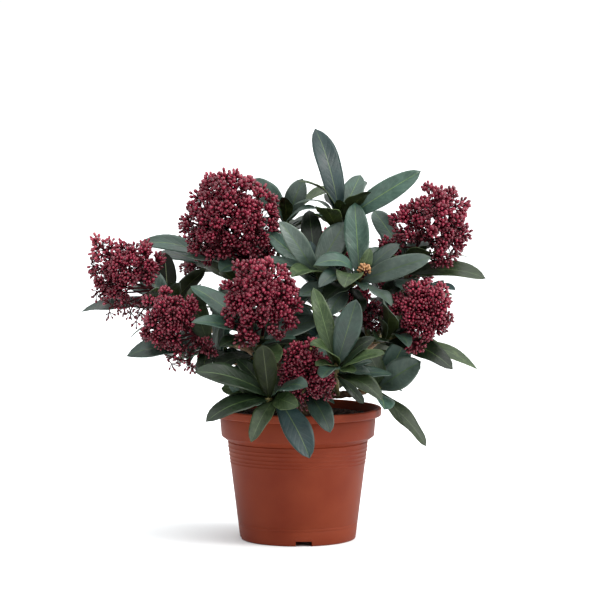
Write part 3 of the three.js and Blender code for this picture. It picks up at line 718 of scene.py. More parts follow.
def growRuledLeaves(name, shoot, count, random, size=1, firstTurn=0):
    curve = twigCurve(shoot)
    axis = wayAt(curve, 1)
    side = (rightwards - axis * axis.x).normalized()
    for i in range(count):
        share = (i + 0.5) / count
        lift = radians(mix(*growth["lifts"], share))
        length = size * (growth["length"] + growth["lengthSpread"] * (random() - 0.5))
        start = seatOn(curve, growth["topSeat"] + growth["stretch"] * share)
        for k in range(growth["tries"]):
            turn = i * goldenAngle + radians(shoot["fillTurn"] + firstTurn + k * growth["tryTurn"])
            out = Quaternion(axis, turn) @ side
            to = start + (axis * cos(lift) + out * sin(lift)) * length
            leaf = {
                "from": start, "to": to, "width": growth["widthRatio"] * length,
                "arch": growth["bladeArch"], "face": axis + upwards * growth["faceUp"],
                "rows": growth["ruledRows"],
            }
            along = [start.lerp(to, share) for share in growth["airChecks"]]
            if to.z < growth["lowest"] or any(inOpenAir(point) for point in along):
                continue
            if tryLeaf(name, leaf):
                break


for node in ("pot", "soil"):
    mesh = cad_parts[node].data
    shell = [vert.co / mm for vert in mesh.vertices], [tuple(face.vertices) for face in mesh.polygons]
    place(node, node, shell)

stemLine = straight(stem["foot"], stem["fork"])
place("main_stem", "limb", limbShell(stemLine, stemRadius, stem["sides"], stem["rows"], growth["clearance"]))
for name, (_, _, _, radii) in boughs.items():
    bough = limbShell(boughCurve(name), taper(radii), *growth["boughFaces"], growth["clearance"])
    place(name, "limb", bough)
for name, shoot in shoots.items():
    twigRadius = taper(growth["twigRadii"])
    twig = limbShell(twigCurve(shoot), twigRadius, *growth["twigFaces"], growth["clearance"])
    place(name, "limb", twig)
for name, head in heads.items():
    placeHead(name, head)
for name, shoot in shoots.items():
    growNamedLeaves(name, shoot)
for index, (name, shoot) in enumerate(shoots.items()):
    growRuledLeaves(name, shoot, shoot["fill"], makeRandom(index + growth["seed"]))
print("grown as the solids are:", sum(len(leaves) for leaves in grownLeaves.values()), "leaves")

# Finer growth within the same reach: young leaves in the gaps of each whorl, first the small ones.
youngLeaves = (
    {"count": 8, "size": 0.5, "firstTurn": 73, "seed": 211},
    {"count": 6, "size": 0.8, "firstTurn": 31, "seed": 311},
)
for young in youngLeaves:
    for index, (name, shoot) in enumerate(shoots.items()):
        random = makeRandom(index + young["seed"])
        growRuledLeaves(name, shoot, young["count"], random, young["size"], young["firstTurn"])
    print("with young leaves:", sum(len(leaves) for leaves in grownLeaves.values()), "leaves")


def colour(hexCode):  # a hex colour as linear numbers
    channels = [int(hexCode[k:k + 2], 16) / 255 for k in (0, 2, 4)]
    return [c / 12.92 if c <= 0.04045 else ((c + 0.055) / 1.055) ** 2.4 for c in channels] + [1]


def addNode(material, kind, inputs, **settings):  # an input is a value or another node's output
    node = material.node_tree.nodes.new(kind)
    for key, value in settings.items():
        setattr(node, key, value)
    for socket, value in inputs.items():
        if isinstance(value, bpy.types.NodeSocket):
            material.node_tree.links.new(value, node.inputs[socket])
        else:
            node.inputs[socket].default_value = value
    return node.outputs


def worked(material, operation, *values):
    return addNode(material, "ShaderNodeMath", dict(enumerate(values)), operation=operation)[0]


def faded(material, value, start, end, low, high):
    sockets = {"Value": value, "From Min": start, "From Max": end, "To Min": low, "To Max": high}
    return addNode(material, "ShaderNodeMapRange", sockets)["Result"]


def blended(material, share, first, second):
    return addNode(material, "ShaderNodeMix", {0: share, 6: first, 7: second}, data_type="RGBA")[2]


# Where in the noise a surface turns from its dark colour to its light one, and its roughness changes.
patchRange = (0.35, 0.68)
roughRange = (0.3, 0.7)

bladeMarks = {
    "veins": 20,
    "veinSlant": 4.5,
    "veinWidth": 0.45,
    "veinShare": 0.12,
    "edgeFrom": 0.88,
    "edgeGain": 1.6,
    "edgeShare": 0.62,
    "mottleScale": 150,
    "mottleRange": (0.5, 0.72),
    "mottleShare": 0.42,
}


def markBlade(material, look, base, place):  # side veins, paler patches and edge, and the leaf's tone, partly its own and partly painted light and shade
    marks = bladeMarks
    blade = addNode(material, "ShaderNodeAttribute", {}, attribute_name="blade")["Vector"]
    along, across, tone = addNode(material, "ShaderNodeSeparateXYZ", {0: blade})
    aside = worked(material, "ABSOLUTE", across)
    climb = worked(material, "MULTIPLY", along, marks["veins"])
    slant = worked(material, "MULTIPLY", aside, marks["veinSlant"])
    wave = worked(material, "PINGPONG", worked(material, "SUBTRACT", climb, slant), 1)
    vein = faded(material, wave, 0, marks["veinWidth"], 1, 0)
    mottleScale = {"Vector": place, "Scale": marks["mottleScale"], "Detail": 6, "Roughness": 0.65}
    mottle = addNode(material, "ShaderNodeTexNoise", mottleScale)["Fac"]
    edge = faded(material, aside, marks["edgeFrom"], 1, 0, marks["edgeGain"])
    edge = worked(material, "MULTIPLY", edge, mottle)
    patch = faded(material, mottle, *marks["mottleRange"], 0, marks["mottleShare"])
    paler = worked(material, "MAXIMUM", worked(material, "MULTIPLY", vein, marks["veinShare"]), patch)
    paler = worked(material, "MAXIMUM", paler, worked(material, "MULTIPLY", edge, marks["edgeShare"]))
    base = blended(material, paler, base, colour(look["pale"]))
    return addNode(material, "ShaderNodeVectorMath", {0: base, "Scale": tone}, operation="SCALE")[0], vein


def makeMaterial(name, look):
    material = bpy.data.materials.new(name)
    material.use_nodes = True
    place = addNode(material, "ShaderNodeTexCoord", {})["Object"]
    patchScale = {"Vector": place, "Scale": look["patchScale"], "Detail": 5}
    patches = addNode(material, "ShaderNodeTexNoise", patchScale)["Fac"]
    base = blended(
        material, faded(material, patches, *patchRange, 0, 1), colour(look["dark"]), colour(look["light"]),
    )
    grainScale = {"Vector": place, "Scale": look["grainScale"], "Detail": 4}
    relief = addNode(material, "ShaderNodeTexNoise", grainScale)["Fac"]
    if "pale" in look:
        base, vein = markBlade(material, look, base, place)
        relief = worked(material, "SUBTRACT", relief, worked(material, "MULTIPLY", vein, look["veinDepth"]))
    shader = material.node_tree.nodes["Principled BSDF"]
    sockets = {
        "Base Color": base,
        "Roughness": faded(material, patches, *roughRange, *look["roughness"]),
        "Normal": addNode(material, "ShaderNodeBump", {
            "Strength": look["bump"], "Distance": look["depth"] * mm, "Height": relief,
        })["Normal"],
    }
    for socket, output in sockets.items():
        material.node_tree.links.new(output, shader.inputs[socket])
    shader.inputs["Specular IOR Level"].default_value = look["specular"]
    return material


def makeMaterials(looks, shared):
    return [makeMaterial(name, {**shared, **look}) for name, look in looks.items()]


leafLooks = {
    "leafDeep": {"dark": "0E1C0B", "light": "1A2C18", "pale": "35492C", "specular": 0.3},
    "leafGrey": {"dark": "1A3026", "light": "2C443A", "pale": "4A6052"},
    "leafFresh": {"dark": "223218", "light": "344529", "pale": "64744A", "specular": 0.3},
    "leafSteel": {"dark": "14292A", "light": "203839", "pale": "3A5044", "specular": 0.34},
    "leafPewter": {"dark": "36453D", "light": "4D5C55", "pale": "64725F"},
    "leafRib": {"dark": "3C5226", "light": "52683A", "pale": "52683A"},
    "leafUnder": {"dark": "1B230C", "light": "2C3715", "pale": "404B24", "specular": 0.25},
    "leafUnderRib": {"dark": "414D22", "light": "55602E", "pale": "55602E"},
    # The near-black leaf material below is painted shade, for a leaf that faces away from the light.
    "leafPaintedShade": {
        "dark": "090C06", "light": "12160B", "pale": "1C2213", "roughness": (0.6, 0.8), "specular": 0.1,
    },
}
leafMaterials = makeMaterials(leafLooks, {
    "roughness": (0.32, 0.54), "specular": 0.5, "patchScale": 70, "grainScale": 700, "bump": 0.42,
    "depth": 0.3, "veinDepth": 0.6,
})
leafSlots = {name: slot for slot, name in enumerate(leafLooks)}

budLooks = {
    "budDark": {"dark": "26040A", "light": "3E0915"},
    "budRed": {"dark": "4C0918", "light": "691226"},
    "budCrimson": {"dark": "6C1024", "light": "8A203A"},
    "budRose": {"dark": "862537", "light": "A23C4E"},
    "budSalmon": {"dark": "8A2C36", "light": "A8464A"},
    "budPeach": {"dark": "8E6138", "light": "BE9062"},
    "budGreen": {"dark": "5C5A2A", "light": "7A7640"},
    "budStalk": {"dark": "2A070C", "light": "460F17", "roughness": (0.6, 0.75), "specular": 0.15},
}
budMaterials = makeMaterials(budLooks, {
    "roughness": (0.22, 0.34), "specular": 0.5, "patchScale": 180, "grainScale": 1500, "bump": 0.15,
    "depth": 0.15,
})
budSlots = {name: slot for slot, name in enumerate(budLooks)}

barkMaterials = makeMaterials({
    "bark": {"dark": "45311F", "light": "7A6248", "roughness": (0.8, 0.92), "bump": 0.7, "depth": 0.8},
    "twigSkin": {"dark": "43351C", "light": "5F5A32", "roughness": (0.55, 0.7), "bump": 0.4, "depth": 0.3},
}, {"specular": 0.4, "patchScale": 140, "grainScale": 800})
soilMaterials = makeMaterials({
    "compost": {"dark": "1C100C", "light": "3A261E", "roughness": (0.9, 1), "bump": 0.9, "depth": 1},
}, {"specular": 0.3, "patchScale": 220, "grainScale": 1200})
potMaterials = makeMaterials({
    "potPlastic": {
        "dark": "64220E", "light": "73301A", "roughness": (0.5, 0.58), "bump": 0.12, "depth": 0.15,
    },
}, {"specular": 0.13, "patchScale": 18, "grainScale": 1600})


def finishPiece(name, mesh, materials, nodes=()):
    for material in materials:
        mesh.materials.append(material)
    piece = bpy.data.objects.new(name, mesh)
    bpy.context.scene.collection.objects.link(piece)
    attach(piece, "root")
    if nodes:
        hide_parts(*nodes)


def joinedMesh(name, blocks):  # blocks of [corners in mm, faces, material of each face, blade marks]
    corners = np.concatenate([block[0] for block in blocks]) * mm
    starts = np.cumsum([0] + [len(block[0]) for block in blocks[:-1]])
    faces = np.concatenate([block[1] + start for block, start in zip(blocks, starts)])
    slots = np.concatenate([block[2] for block in blocks])
    mesh = bpy.data.meshes.new(name)
    mesh.from_pydata(corners.tolist(), [], faces.tolist())
    mesh.polygons.foreach_set("material_index", slots.astype(np.int32))
    if len(blocks[0]) > 3:
        blade = mesh.attributes.new("blade", "FLOAT_VECTOR", "POINT")
        blade.data.foreach_set("vector", np.concatenate([block[3] for block in blocks]).ravel())
    mesh.shade_smooth()
    mesh.update()
    return mesh


def templateOf(bm):  # a bmesh's corners and faces as arrays
    bm.verts.index_update()
    corners = np.array([vert.co[:] for vert in bm.verts])
    faces = np.array([[vert.index for vert in face.verts] for face in bm.faces])
    bm.free()
    return corners, faces


def meshOf(bm, name):
    mesh = bpy.data.meshes.new(name)
    bm.to_mesh(mesh)
    bm.free()
    return mesh


def linkedObject(name, data):
    holder = bpy.data.objects.new(name, data)
    bpy.context.scene.collection.objects.link(holder)
    return holder


def evaluatedMesh(holder):  # the mesh that an object's curve or modifiers give
    bpy.context.view_layer.update()
    return bpy.data.meshes.new_from_object(holder.evaluated_get(bpy.context.evaluated_depsgraph_get()))


def tubes(name, lines, bevelResolution):  # a mesh of round limbs along lines of [points, radii]
    curve = bpy.data.curves.new(name, "CURVE")
    curve.dimensions = "3D"
    curve.bevel_depth = 1
    curve.bevel_resolution = bevelResolution
    for points, radii in lines:
        spline = curve.splines.new("POLY")
        spline.points.add(len(points) - 1)
        flat = np.column_stack([np.array(points) * mm, np.ones(len(points))])
        spline.points.foreach_set("co", flat.ravel())
        spline.points.foreach_set("radius", np.array(radii) * mm)
    holder = linkedObject(name, curve)
    mesh = evaluatedMesh(holder)
    bpy.data.objects.remove(holder)
    bpy.data.curves.remove(curve)
    bm = bmesh.new()
    bm.from_mesh(mesh)
    bmesh.ops.holes_fill(bm, edges=bm.edges[:])
    bmesh.ops.recalc_face_normals(bm, faces=bm.faces[:])
    bm.to_mesh(mesh)
    bm.free()
    mesh.name = name
    mesh.shade_smooth()
    return mesh


def limbLine(curve, radiusAt, rows):
    shares = [row / rows for row in range(rows + 1)]
    return [pointAt(curve, share) for share in shares], [radiusAt(share) for share in shares]


# The fine leaves, in millimetres, degrees and shares of a leaf's own length or width.
leafShape = {
    "alongFaces": 16,
    "acrossLines": (-1, -0.78, -0.5, -0.22, -0.03, 0.03, 0.22, 0.5, 0.78, 1),
    "edgeThickness": 0.5,
    "ribThickness": 1.1,
    "ribTaper": 1.3,
    "ribWidth": 0.12,
    "ribSink": 0.25,
    "seat": 0.3,
    "tipPoint": 8,
    "tipThin": 6,
    "fold": (0.06, 0.24),
    "foldCurve": 1.5,
    "waves": (0.3, 1.5),
    "waveCount": (1.2, 2.4),
    "twist": 16,
    "tipDroop": (0, 0.06),
    "droopFrom": 0.6,
    "droopCurve": 6,
    "toneSpread": (0.88, 1.12),
    "seed": 411,
}

# What a leaf looks like: [its upper side, its underside, how light it is]. For the named leaves, how light a
# leaf is is partly its own tone and partly painted light and shade: leaves that face the light get the
# lighter grey looks as painted light and sheen, shaded ones the darker looks as painted shade, and "shade"
# is wholly painted shade.
leafTones = {
    "pewter": ("leafPewter", "leafUnder", 1),
    "silver": ("leafGrey", "leafUnder", 1.35),
    "slate": ("leafGrey", "leafUnder", 0.7),
    "moss": ("leafFresh", "leafUnder", 0.95),
    "olive": ("leafFresh", "leafUnder", 0.5),
    "bottle": ("leafDeep", "leafUnder", 0.6),
    "steel": ("leafSteel", "leafUnder", 0.8),
    "shade": ("leafPaintedShade", "leafPaintedShade", 1),
}
ruledLooks = [look for look in leafTones if look != "shade"]


def makeLeafTemplate():
    across = leafShape["acrossLines"]
    bm = bmesh.new()
    bmesh.ops.create_grid(bm, x_segments=leafShape["alongFaces"], y_segments=len(across) - 1, size=0.5)
    for vert in bm.verts:
        vert.co.y = across[round((vert.co.y + 0.5) * (len(across) - 1))]
        vert.co.x = vert.co.x + 0.5
    bmesh.ops.solidify(bm, geom=bm.faces[:], thickness=1)
    bm.normal_update()
    ribEdge = across[len(across) // 2] + 0.01
    roles = []
    for face in bm.faces:
        onRib = all(abs(vert.co.y) < ribEdge for vert in face.verts)
        under = face.normal.z < -0.5
        roles.append((2 if under else 0) + (1 if onRib else 0))
    corners, faces = templateOf(bm)
    return corners, faces[:, ::-1], np.array(roles)  # turned round, as bendLeaf mirrors the blade


leafCorners, leafFaces, leafRoles = makeLeafTemplate()
leafTopLevel = leafCorners[:, 2].max()


def bendLeaf(leaf, tone, random):
    shape = leafShape
    rib, side = bladeLines(leaf)
    side = np.array(side)
    a, b, c = (np.array(end) for end in rib["ends"])
    t = leafCorners[:, :1]
    v = leafCorners[:, 1:2]
    under = (leafCorners[:, 2:] < leafTopLevel - 0.5).astype(float)
    length = float(np.linalg.norm(c - a))
    point = (1 - t) ** 2 * a + 2 * t * (1 - t) * b + t ** 2 * c
    tangent = (1 - t) * (b - a) + t * (c - b)
    tangent /= np.linalg.norm(tangent, axis=1, keepdims=True)
    normal = np.cross(side, tangent)
    twist = radians(random(-shape["twist"], shape["twist"])) * t
    sideways = side * np.cos(twist) + normal * np.sin(twist)
    normal = normal * np.cos(twist) - side * np.sin(twist)
    swell = np.maximum(np.sin(pi * t ** growth["widest"]), 0) ** growth["blunt"]
    stalkHalf = growth["bladeStalk"] / 2 * np.minimum((1 - t) * shape["tipPoint"], 1)
    breadth = stalkHalf + (leaf["width"] / 2 - stalkHalf) * swell
    fold = random(*shape["fold"])
    height = random(*shape["waves"])
    wave = height * np.sin(2 * pi * (t * random(*shape["waveCount"]) + random())) * np.sign(v)
    rise = np.abs(v) ** shape["foldCurve"] * breadth * fold + wave * v ** 2 * swell
    droop = np.maximum(t - shape["droopFrom"], 0) ** 2 * shape["droopCurve"]
    rise -= random(*shape["tipDroop"]) * length * droop
    onRib = np.exp(-(v / shape["ribWidth"]) ** 2)
    thick = mix(shape["edgeThickness"], shape["ribThickness"] * (shape["ribTaper"] - t), onRib)
    thick = thick * np.minimum((1.001 - t) * shape["tipThin"], 1)
    rise += -onRib * shape["ribSink"] * (1 - under) * (1 - t) + thick * (shape["seat"] - under)
    blade = np.column_stack([t, v, np.full(len(t), tone)])
    return point + sideways * v * breadth + normal * rise, blade


def makeLeaves():
    for index, (shoot, leaves) in enumerate(grownLeaves.items()):
        random = makeRandom(index + leafShape["seed"])
        blocks = []
        for leaf in leaves:
            look = leaf.get("look") or ruledLooks[int(random(0, len(ruledLooks)))]
            upper, under, tone = leafTones[look]
            corners, blade = bendLeaf(leaf, tone * random(*leafShape["toneSpread"]), random)
            slots = np.array([leafSlots[name] for name in (upper, "leafRib", under, "leafUnderRib")])
            blocks.append((corners, leafFaces, slots[leafRoles], blade))
        piece = shoot.replace("shoot", "leaves")
        finishPiece(piece, joinedMesh(piece, blocks), leafMaterials, [shoot])


makeLeaves()
print("leaves made")


# The buds, their pedicels and the arms that carry them. Pairs run from low to high.
budShape = {
    "radiusByLight": (1.16, 1.54),
    "stretch": 1.45,
    "clusterRadius": 5.8,
    "sidesAndRings": (6, 5),
    "budsByLight": (19, 12),
    # Shares of chance, light and randomness in a bud's tint: the light share darkens low clusters, partly as
    # the buds' own colour and partly as painted shade.
    "tintBy": (0.2, 0.35, 0.45),
    "density": 1.5,
    "capEdge": 112,
    "capStart": 0.3,
    "nodeBack": 0.6,
    "spread": (0.62, 1),
    "radiusSpread": (0.82, 1.12),
    "countSpread": (0.8, 1.2),
    "clusterSpread": (0.85, 1.1),
    "innerSpread": (0.8, 1),
    "turnSpread": 6,
    "jitter": 2.6,
    "reachDown": 1.75,
    "reach": (-0.75, 0.45),
    "innerShare": 0.7,
    "innerScale": 0.62,
    "armRadii": (0.75, 0.42),
    "pedicelRadius": 0.38,
    "leafGap": 2.2,
    "looseShare": 0.42,
    "looseJitter": 1.4,
    "looseDensity": 1.02,
    "branches": 8,
    "branchRadii": (1, 0.7),
    "branchFork": (0.45, 0.8),
    "branchBend": (-2, 1),
    "armBend": (-1.5, 1),
    "lowestFork": 0.1,
    "stalkRows": 6,
    "branchRows": 5,
    "armRows": 3,
    "seed": 611,
}

# An open spray at the side of a head: a longer arm with small bunches forking off towards its end.
sprayShape = {
    "parts": 10,
    "from": 0.5,
    "width": 0.9,
    "beyond": 0.15,
    "size": 0.85,
    "buds": 7,
    "armRadii": (1, 0.6),
    "armRows": 8,
    "partRows": 2,
    "rise": 3,
}
sprayKinds = {
    "usual": {},
    "thin": {"parts": 6, "buds": 5, "width": 1.1},
    "rosy": {"parts": 16, "from": 0.72},
}

# How the buds of a cluster share out the colours: [colour, share].
budMixes = {
    "usual": (("budDark", 0.16), ("budRed", 0.36), ("budCrimson", 0.33), ("budRose", 0.15)),
    "flecked": (("budDark", 0.2), ("budRed", 0.42), ("budCrimson", 0.3), ("budGreen", 0.08)),
    "rosy": (("budCrimson", 0.4), ("budRose", 0.4), ("budSalmon", 0.2)),
    "fresh": (("budPeach", 1),),
}


def pickTint(mixture, draw):
    for name, share in budMixes[mixture]:
        draw -= share
        if draw < 0:
            break
    return budSlots[name]


def makeBudTemplate():
    bm = bmesh.new()
    sides, rings = budShape["sidesAndRings"]
    bmesh.ops.create_uvsphere(bm, u_segments=sides, v_segments=rings, radius=1)
    bmesh.ops.triangulate(bm, faces=bm.faces[:])
    return templateOf(bm)


def allLeavesTree():
    corners, faces = [], []
    for leaves in grownLeaves.values():
        for leaf in leaves:
            shell = bladeShell(leaf)
            faces += [tuple(k + len(corners) for k in face) for face in shell[1]]
            corners += shell[0]
    return BVHTree.FromPolygons(corners, faces)


budCorners, budFaces = makeBudTemplate()
leafTree = allLeavesTree()


def hiddenByLeaf(start, end):
    return leafTree.ray_cast(start, (end - start).normalized(), (end - start).length)[0] is not None


def clusterIn(head, at, size):  # its light is 0 at the foot of the head and 1 on the crown; low light gives fewer, smaller buds and darker tints, the tints partly the buds' own redder colour in the light and partly painted shade
    light = min(max((at.z - head["centre"][2]) / head["height"] / 2 + 0.5, 0), 1)
    budSize = head.get("budSize", 1)
    return {
        "at": at, "size": size, "light": light, "mixture": head.get("mixture", "usual"),
        "buds": mix(*budShape["budsByLight"], light) / budSize ** 1.5,
        "budRadius": mix(*budShape["radiusByLight"], light) * budSize,
    }


def fineClusters(head, random):
    tip, centre = Vector(shoots[head["shoot"]]["at"]), Vector(head["centre"])
    size = budShape["clusterRadius"]
    loose = head.get("loose", False)
    jitter = budShape["jitter"] * (budShape["looseJitter"] if loose else 1)
    density = budShape["density"] * (budShape["looseDensity"] if loose else 1)
    count = round(density * head.get("fineness", 1) * head["radius"] * head["height"] / size ** 2)
    clusters = []
    for at in domePlaces(head, tip, count, size, budShape["reachDown"]):
        at = at + Vector([random(-1, 1) for _ in range(3)]) * jitter
        at += (at - centre).normalized() * size * random(*budShape["reach"])
        clusters.append(clusterIn(head, at, size * random(*budShape["clusterSpread"])))
    inner = budShape["looseShare"] if loose else budShape["innerShare"]
    for at in domePlaces(head, tip, round(count * inner), size, budShape["reachDown"]):
        at = centre + (at - centre) * budShape["innerScale"]
        clusters.append(clusterIn(head, at, size * random(*budShape["innerSpread"])))
    return clusters


def growCluster(cluster, fork, random):  # buds on the outer side of a cluster, on pedicels
    at, size, light = cluster["at"], cluster["size"], cluster["light"]
    outward = (at - fork).normalized()
    node = at - outward * size * budShape["nodeBack"]
    side = outward.orthogonal().normalized()
    chance = random()
    blocks, pedicels = [], []
    count = round(cluster["buds"] * random(*budShape["countSpread"]))
    for k in range(count):
        tilt = radians(budShape["capEdge"]) * sqrt((k + budShape["capStart"]) / count)
        around = Quaternion(outward, k * goldenAngle + chance * budShape["turnSpread"]) @ side
        bud = at + (outward * cos(tilt) + around * sin(tilt)) * size * random(*budShape["spread"])
        if leafTree.find_nearest(bud, budShape["leafGap"])[0] is not None or hiddenByLeaf(node, bud):
            continue
        radius = cluster["budRadius"] * random(*budShape["radiusSpread"])
        turned = np.array((bud - node).to_track_quat("Z", "Y").to_matrix())
        local = budCorners * np.array([radius, radius, radius * budShape["stretch"]])
        # The light share darkens the tint of low clusters: partly the buds' own colour, partly painted
        # shade.
        tint = pickTint(cluster["mixture"], np.dot(budShape["tintBy"], (chance, light, random())))
        blocks.append((local @ turned.T + np.array(bud), budFaces, np.full(len(budFaces), tint)))
        pedicels.append(([node, bud], [budShape["pedicelRadius"]] * 2))
    return node, blocks, pedicels


def growSpray(head, at, radius, kind, fork, random):
    shape = {**sprayShape, **sprayKinds[kind]}
    arm = bezier(fork, fork.lerp(at, 0.5) - upwards * shape["rise"], at)
    arms, blocks, pedicels = [limbLine(arm, taper(shape["armRadii"]), shape["armRows"])], [], []
    for part in range(shape["parts"]):
        start = pointOn(arm, mix(1, shape["from"], part / shape["parts"]))
        aside = Vector([random(-1, 1) for _ in range(3)]) * radius * shape["width"]
        end = start + aside + wayOn(arm, 1) * radius * shape["beyond"]
        if hiddenByLeaf(start, end):
            continue
        cluster = clusterIn(head, end, budShape["clusterRadius"] * shape["size"])
        cluster["buds"] = shape["buds"]
        if kind == "rosy":
            cluster["mixture"] = "rosy"
        node, buds, stalks = growCluster(cluster, start, random)
        if not buds:
            continue
        arms.append(limbLine(straight(start, node), taper(budShape["armRadii"]), shape["partRows"]))
        blocks += buds
        pedicels += stalks
    return arms, blocks, pedicels


def headBranches(head, rachis, random):  # the main branches of a head, from its stalk out to the dome
    tip, count = Vector(shoots[head["shoot"]]["at"]), budShape["branches"]
    branches = []
    for k, at in enumerate(domePlaces(head, tip, count, budShape["clusterRadius"] * 2)):
        fork = pointOn(rachis, max(growth["topFork"] - growth["forks"] * k / count, budShape["lowestFork"]))
        if not hiddenByLeaf(fork, at):
            bend = fork.lerp(at, 0.5) + upwards * random(*budShape["branchBend"])
            branches.append(bezier(fork, bend, at))
    return branches or [bezier(*rachis["ends"])]


def makeHead(index, name, head):
    random = makeRandom(index + budShape["seed"])
    rachis = stalkCurve(head)
    branches = headBranches(head, rachis, random)
    arms = [limbLine(rachis, taper(growth["stalkRadii"]), budShape["stalkRows"])]
    for branch in branches:
        arms.append(limbLine(branch, taper(budShape["branchRadii"]), budShape["branchRows"]))
    blocks, pedicels = [], []
    for cluster in fineClusters(head, random):
        nearest = min(branches, key=lambda branch: (branch["ends"][2] - cluster["at"]).length)
        fork = pointOn(nearest, random(*budShape["branchFork"]))
        if hiddenByLeaf(fork, cluster["at"]):
            continue
        node, buds, stalks = growCluster(cluster, fork, random)
        if not buds:
            continue
        bend = fork.lerp(node, 0.5) + upwards * random(*budShape["armBend"])
        arms.append(limbLine(bezier(fork, bend, node), taper(budShape["armRadii"]), budShape["armRows"]))
        blocks += buds
        pedicels += stalks
    kinds = head.get("sprays") or ["usual"] * len(head["beside"])
    for (at, radius), kind in zip(head["beside"], kinds):
        fork = pointOn(rachis, growth["topFork"] - growth["forks"])
        sprayArms, buds, stalks = growSpray(head, Vector(at), radius, kind, fork, random)
        if buds:
            arms += sprayArms
            blocks += buds
            pedicels += stalks
    piece = name.replace("head", "buds")
    finishPiece(piece, joinedMesh(piece, blocks), budMaterials, [name])
    return arms, pedicels, len(blocks)


def makeHeads():
    arms, pedicels, count = [], [], 0
    for index, (name, head) in enumerate(heads.items()):
        headArms, headPedicels, made = makeHead(index, name, head)
        arms += headArms
        pedicels += headPedicels
        count += made
    stalkMaterial = [budMaterials[budSlots["budStalk"]]]
    finishPiece("budArms", tubes("budArms", arms, 1), stalkMaterial)
    for piece, isLeft in (("budPedicelsLeft", True), ("budPedicelsRight", False)):
        lines = [line for line in pedicels if (line[0][0].x < 0) == isLeft]
        finishPiece(piece, tubes(piece, lines, 0), stalkMaterial)
    print("heads made:", count, "buds")


makeHeads()


barkShape = {
    "limbHeight": 0.8,
    "limbScale": 260,
    "limbRows": 30,
    "limbRoundness": 6,
    "stemRows": 24,
    "twigHeight": 0.3,
    "twigScale": 400,
    "twigRows": 14,
    "twigRoundness": 3,
    "drawnOut": 0.35,
}


def barkRelief(mesh, height, scale):  # knobbly relief, drawn out along the upright
    bm = bmesh.new()
    bm.from_mesh(mesh)
    bm.normal_update()
    for vert in bm.verts:
        at = Vector((vert.co.x, vert.co.y, vert.co.z * barkShape["drawnOut"])) * scale
        vert.co += vert.normal * height * mm * noise.fractal(at, 1, 2, 3)
    bm.to_mesh(mesh)
    bm.free()


def makeLimbs():
    shape = barkShape
    lines = [limbLine(stemLine, stemRadius, shape["stemRows"])]
    for name, (_, _, _, radii) in boughs.items():
        lines.append(limbLine(boughCurve(name), taper(radii), shape["limbRows"]))
    mesh = tubes("limbs", lines, shape["limbRoundness"])
    barkRelief(mesh, shape["limbHeight"], shape["limbScale"])
    finishPiece("limbs", mesh, barkMaterials[:1], ["main_stem", *boughs])
    radiusAt = taper(growth["twigRadii"])
    twigs = [limbLine(twigCurve(shoot), radiusAt, shape["twigRows"]) for shoot in shoots.values()]
    mesh = tubes("twigs", twigs, shape["twigRoundness"])
    barkRelief(mesh, shape["twigHeight"], shape["twigScale"])
    finishPiece("twigs", mesh, barkMaterials[1:])


makeLimbs()
print("limbs made")


# The pot, in millimetres from the middle of its underside.
potShape = {
    "segments": 144,
    "lipRadius": 70,
    "lipInner": 66,
    "lipDepth": 6.8,
    "lipRound": 1.4,
    "lipSlope": 1.2,
    "collarRadius": 65.3,
    "collarFoot": 64,
    "collarBottom": 86.9,
    "shoulderRadius": 58.9,
    "shoulderHeight": 83.1,
    "footRadius": 48.6,
    "footRound": 1.6,
    "wall": 1.9,
    "floorTop": 6,
    "footRingInner": 42.5,
    "footRingRound": 0.5,
    "footSlope": 0.2,
    "recessTop": 4.2,
    "recessSlope": 1,
    "recessRound": 0.4,
    "discRadius": 20,
    "collarRound": 0.6,
    "shoulderRound": 0.8,
    "innerRound": 1,
    "ribs": (64.7, 67.5, 70.7, 74.5, 77.7),
    "ribHalf": 0.9,
    "ribOut": 0.42,
    "grooves": (12, 14.4),
    "grooveHalf": 0.5,
    "grooveIn": 0.25,
    "undercut": 0.6,
    "undercutBelow": 0.2,
    "holes": 8,
    "holeRadius": 4,
    "holeCircle": 31,
    "notches": 4,
    "notchWidth": 13.5,
    "notchTurn": 6,
    "sharpFrom": 40,
}


def rounded(outline):  # [radius, height, rounding] corners as points, each rounding a short arc
    points = []
    for k, (r, z, size) in enumerate(outline):
        corner = Vector((r, z))
        if not size:
            points.append(corner)
            continue
        before = corner + (Vector(outline[k - 1][:2]) - corner).normalized() * size
        after = corner + (Vector(outline[k + 1][:2]) - corner).normalized() * size
        for t in (0, 0.25, 0.5, 0.75, 1):
            points.append((1 - t) ** 2 * before + 2 * t * (1 - t) * corner + t ** 2 * after)
    return points


def spun(outline, segments):
    bm = bmesh.new()
    verts = [bm.verts.new((point.x * mm, 0, point.y * mm)) for point in rounded(outline)]
    edges = [bm.edges.new(pair) for pair in zip(verts, verts[1:])]
    bmesh.ops.spin(
        bm, geom=verts + edges, axis=(0, 0, 1), cent=(0, 0, 0), angle=2 * pi, steps=segments, use_merge=True,
    )
    bmesh.ops.remove_doubles(bm, verts=bm.verts[:], dist=0.01 * mm)
    bmesh.ops.dissolve_degenerate(bm, edges=bm.edges[:], dist=0.001 * mm)
    bmesh.ops.recalc_face_normals(bm, faces=bm.faces[:])
    return bm


def wallRadius(z):  # of the pot's outside below the shoulder
    p = potShape
    share = (z - p["footRound"]) / (p["shoulderHeight"] - p["footRound"])
    return mix(p["footRadius"], p["shoulderRadius"], share)


def ring(z, half, out):  # a fine ridge or groove round the wall
    below, above = z - half, z + half
    return [(wallRadius(below), below, 0), (wallRadius(z) + out, z, 0), (wallRadius(above), above, 0)]


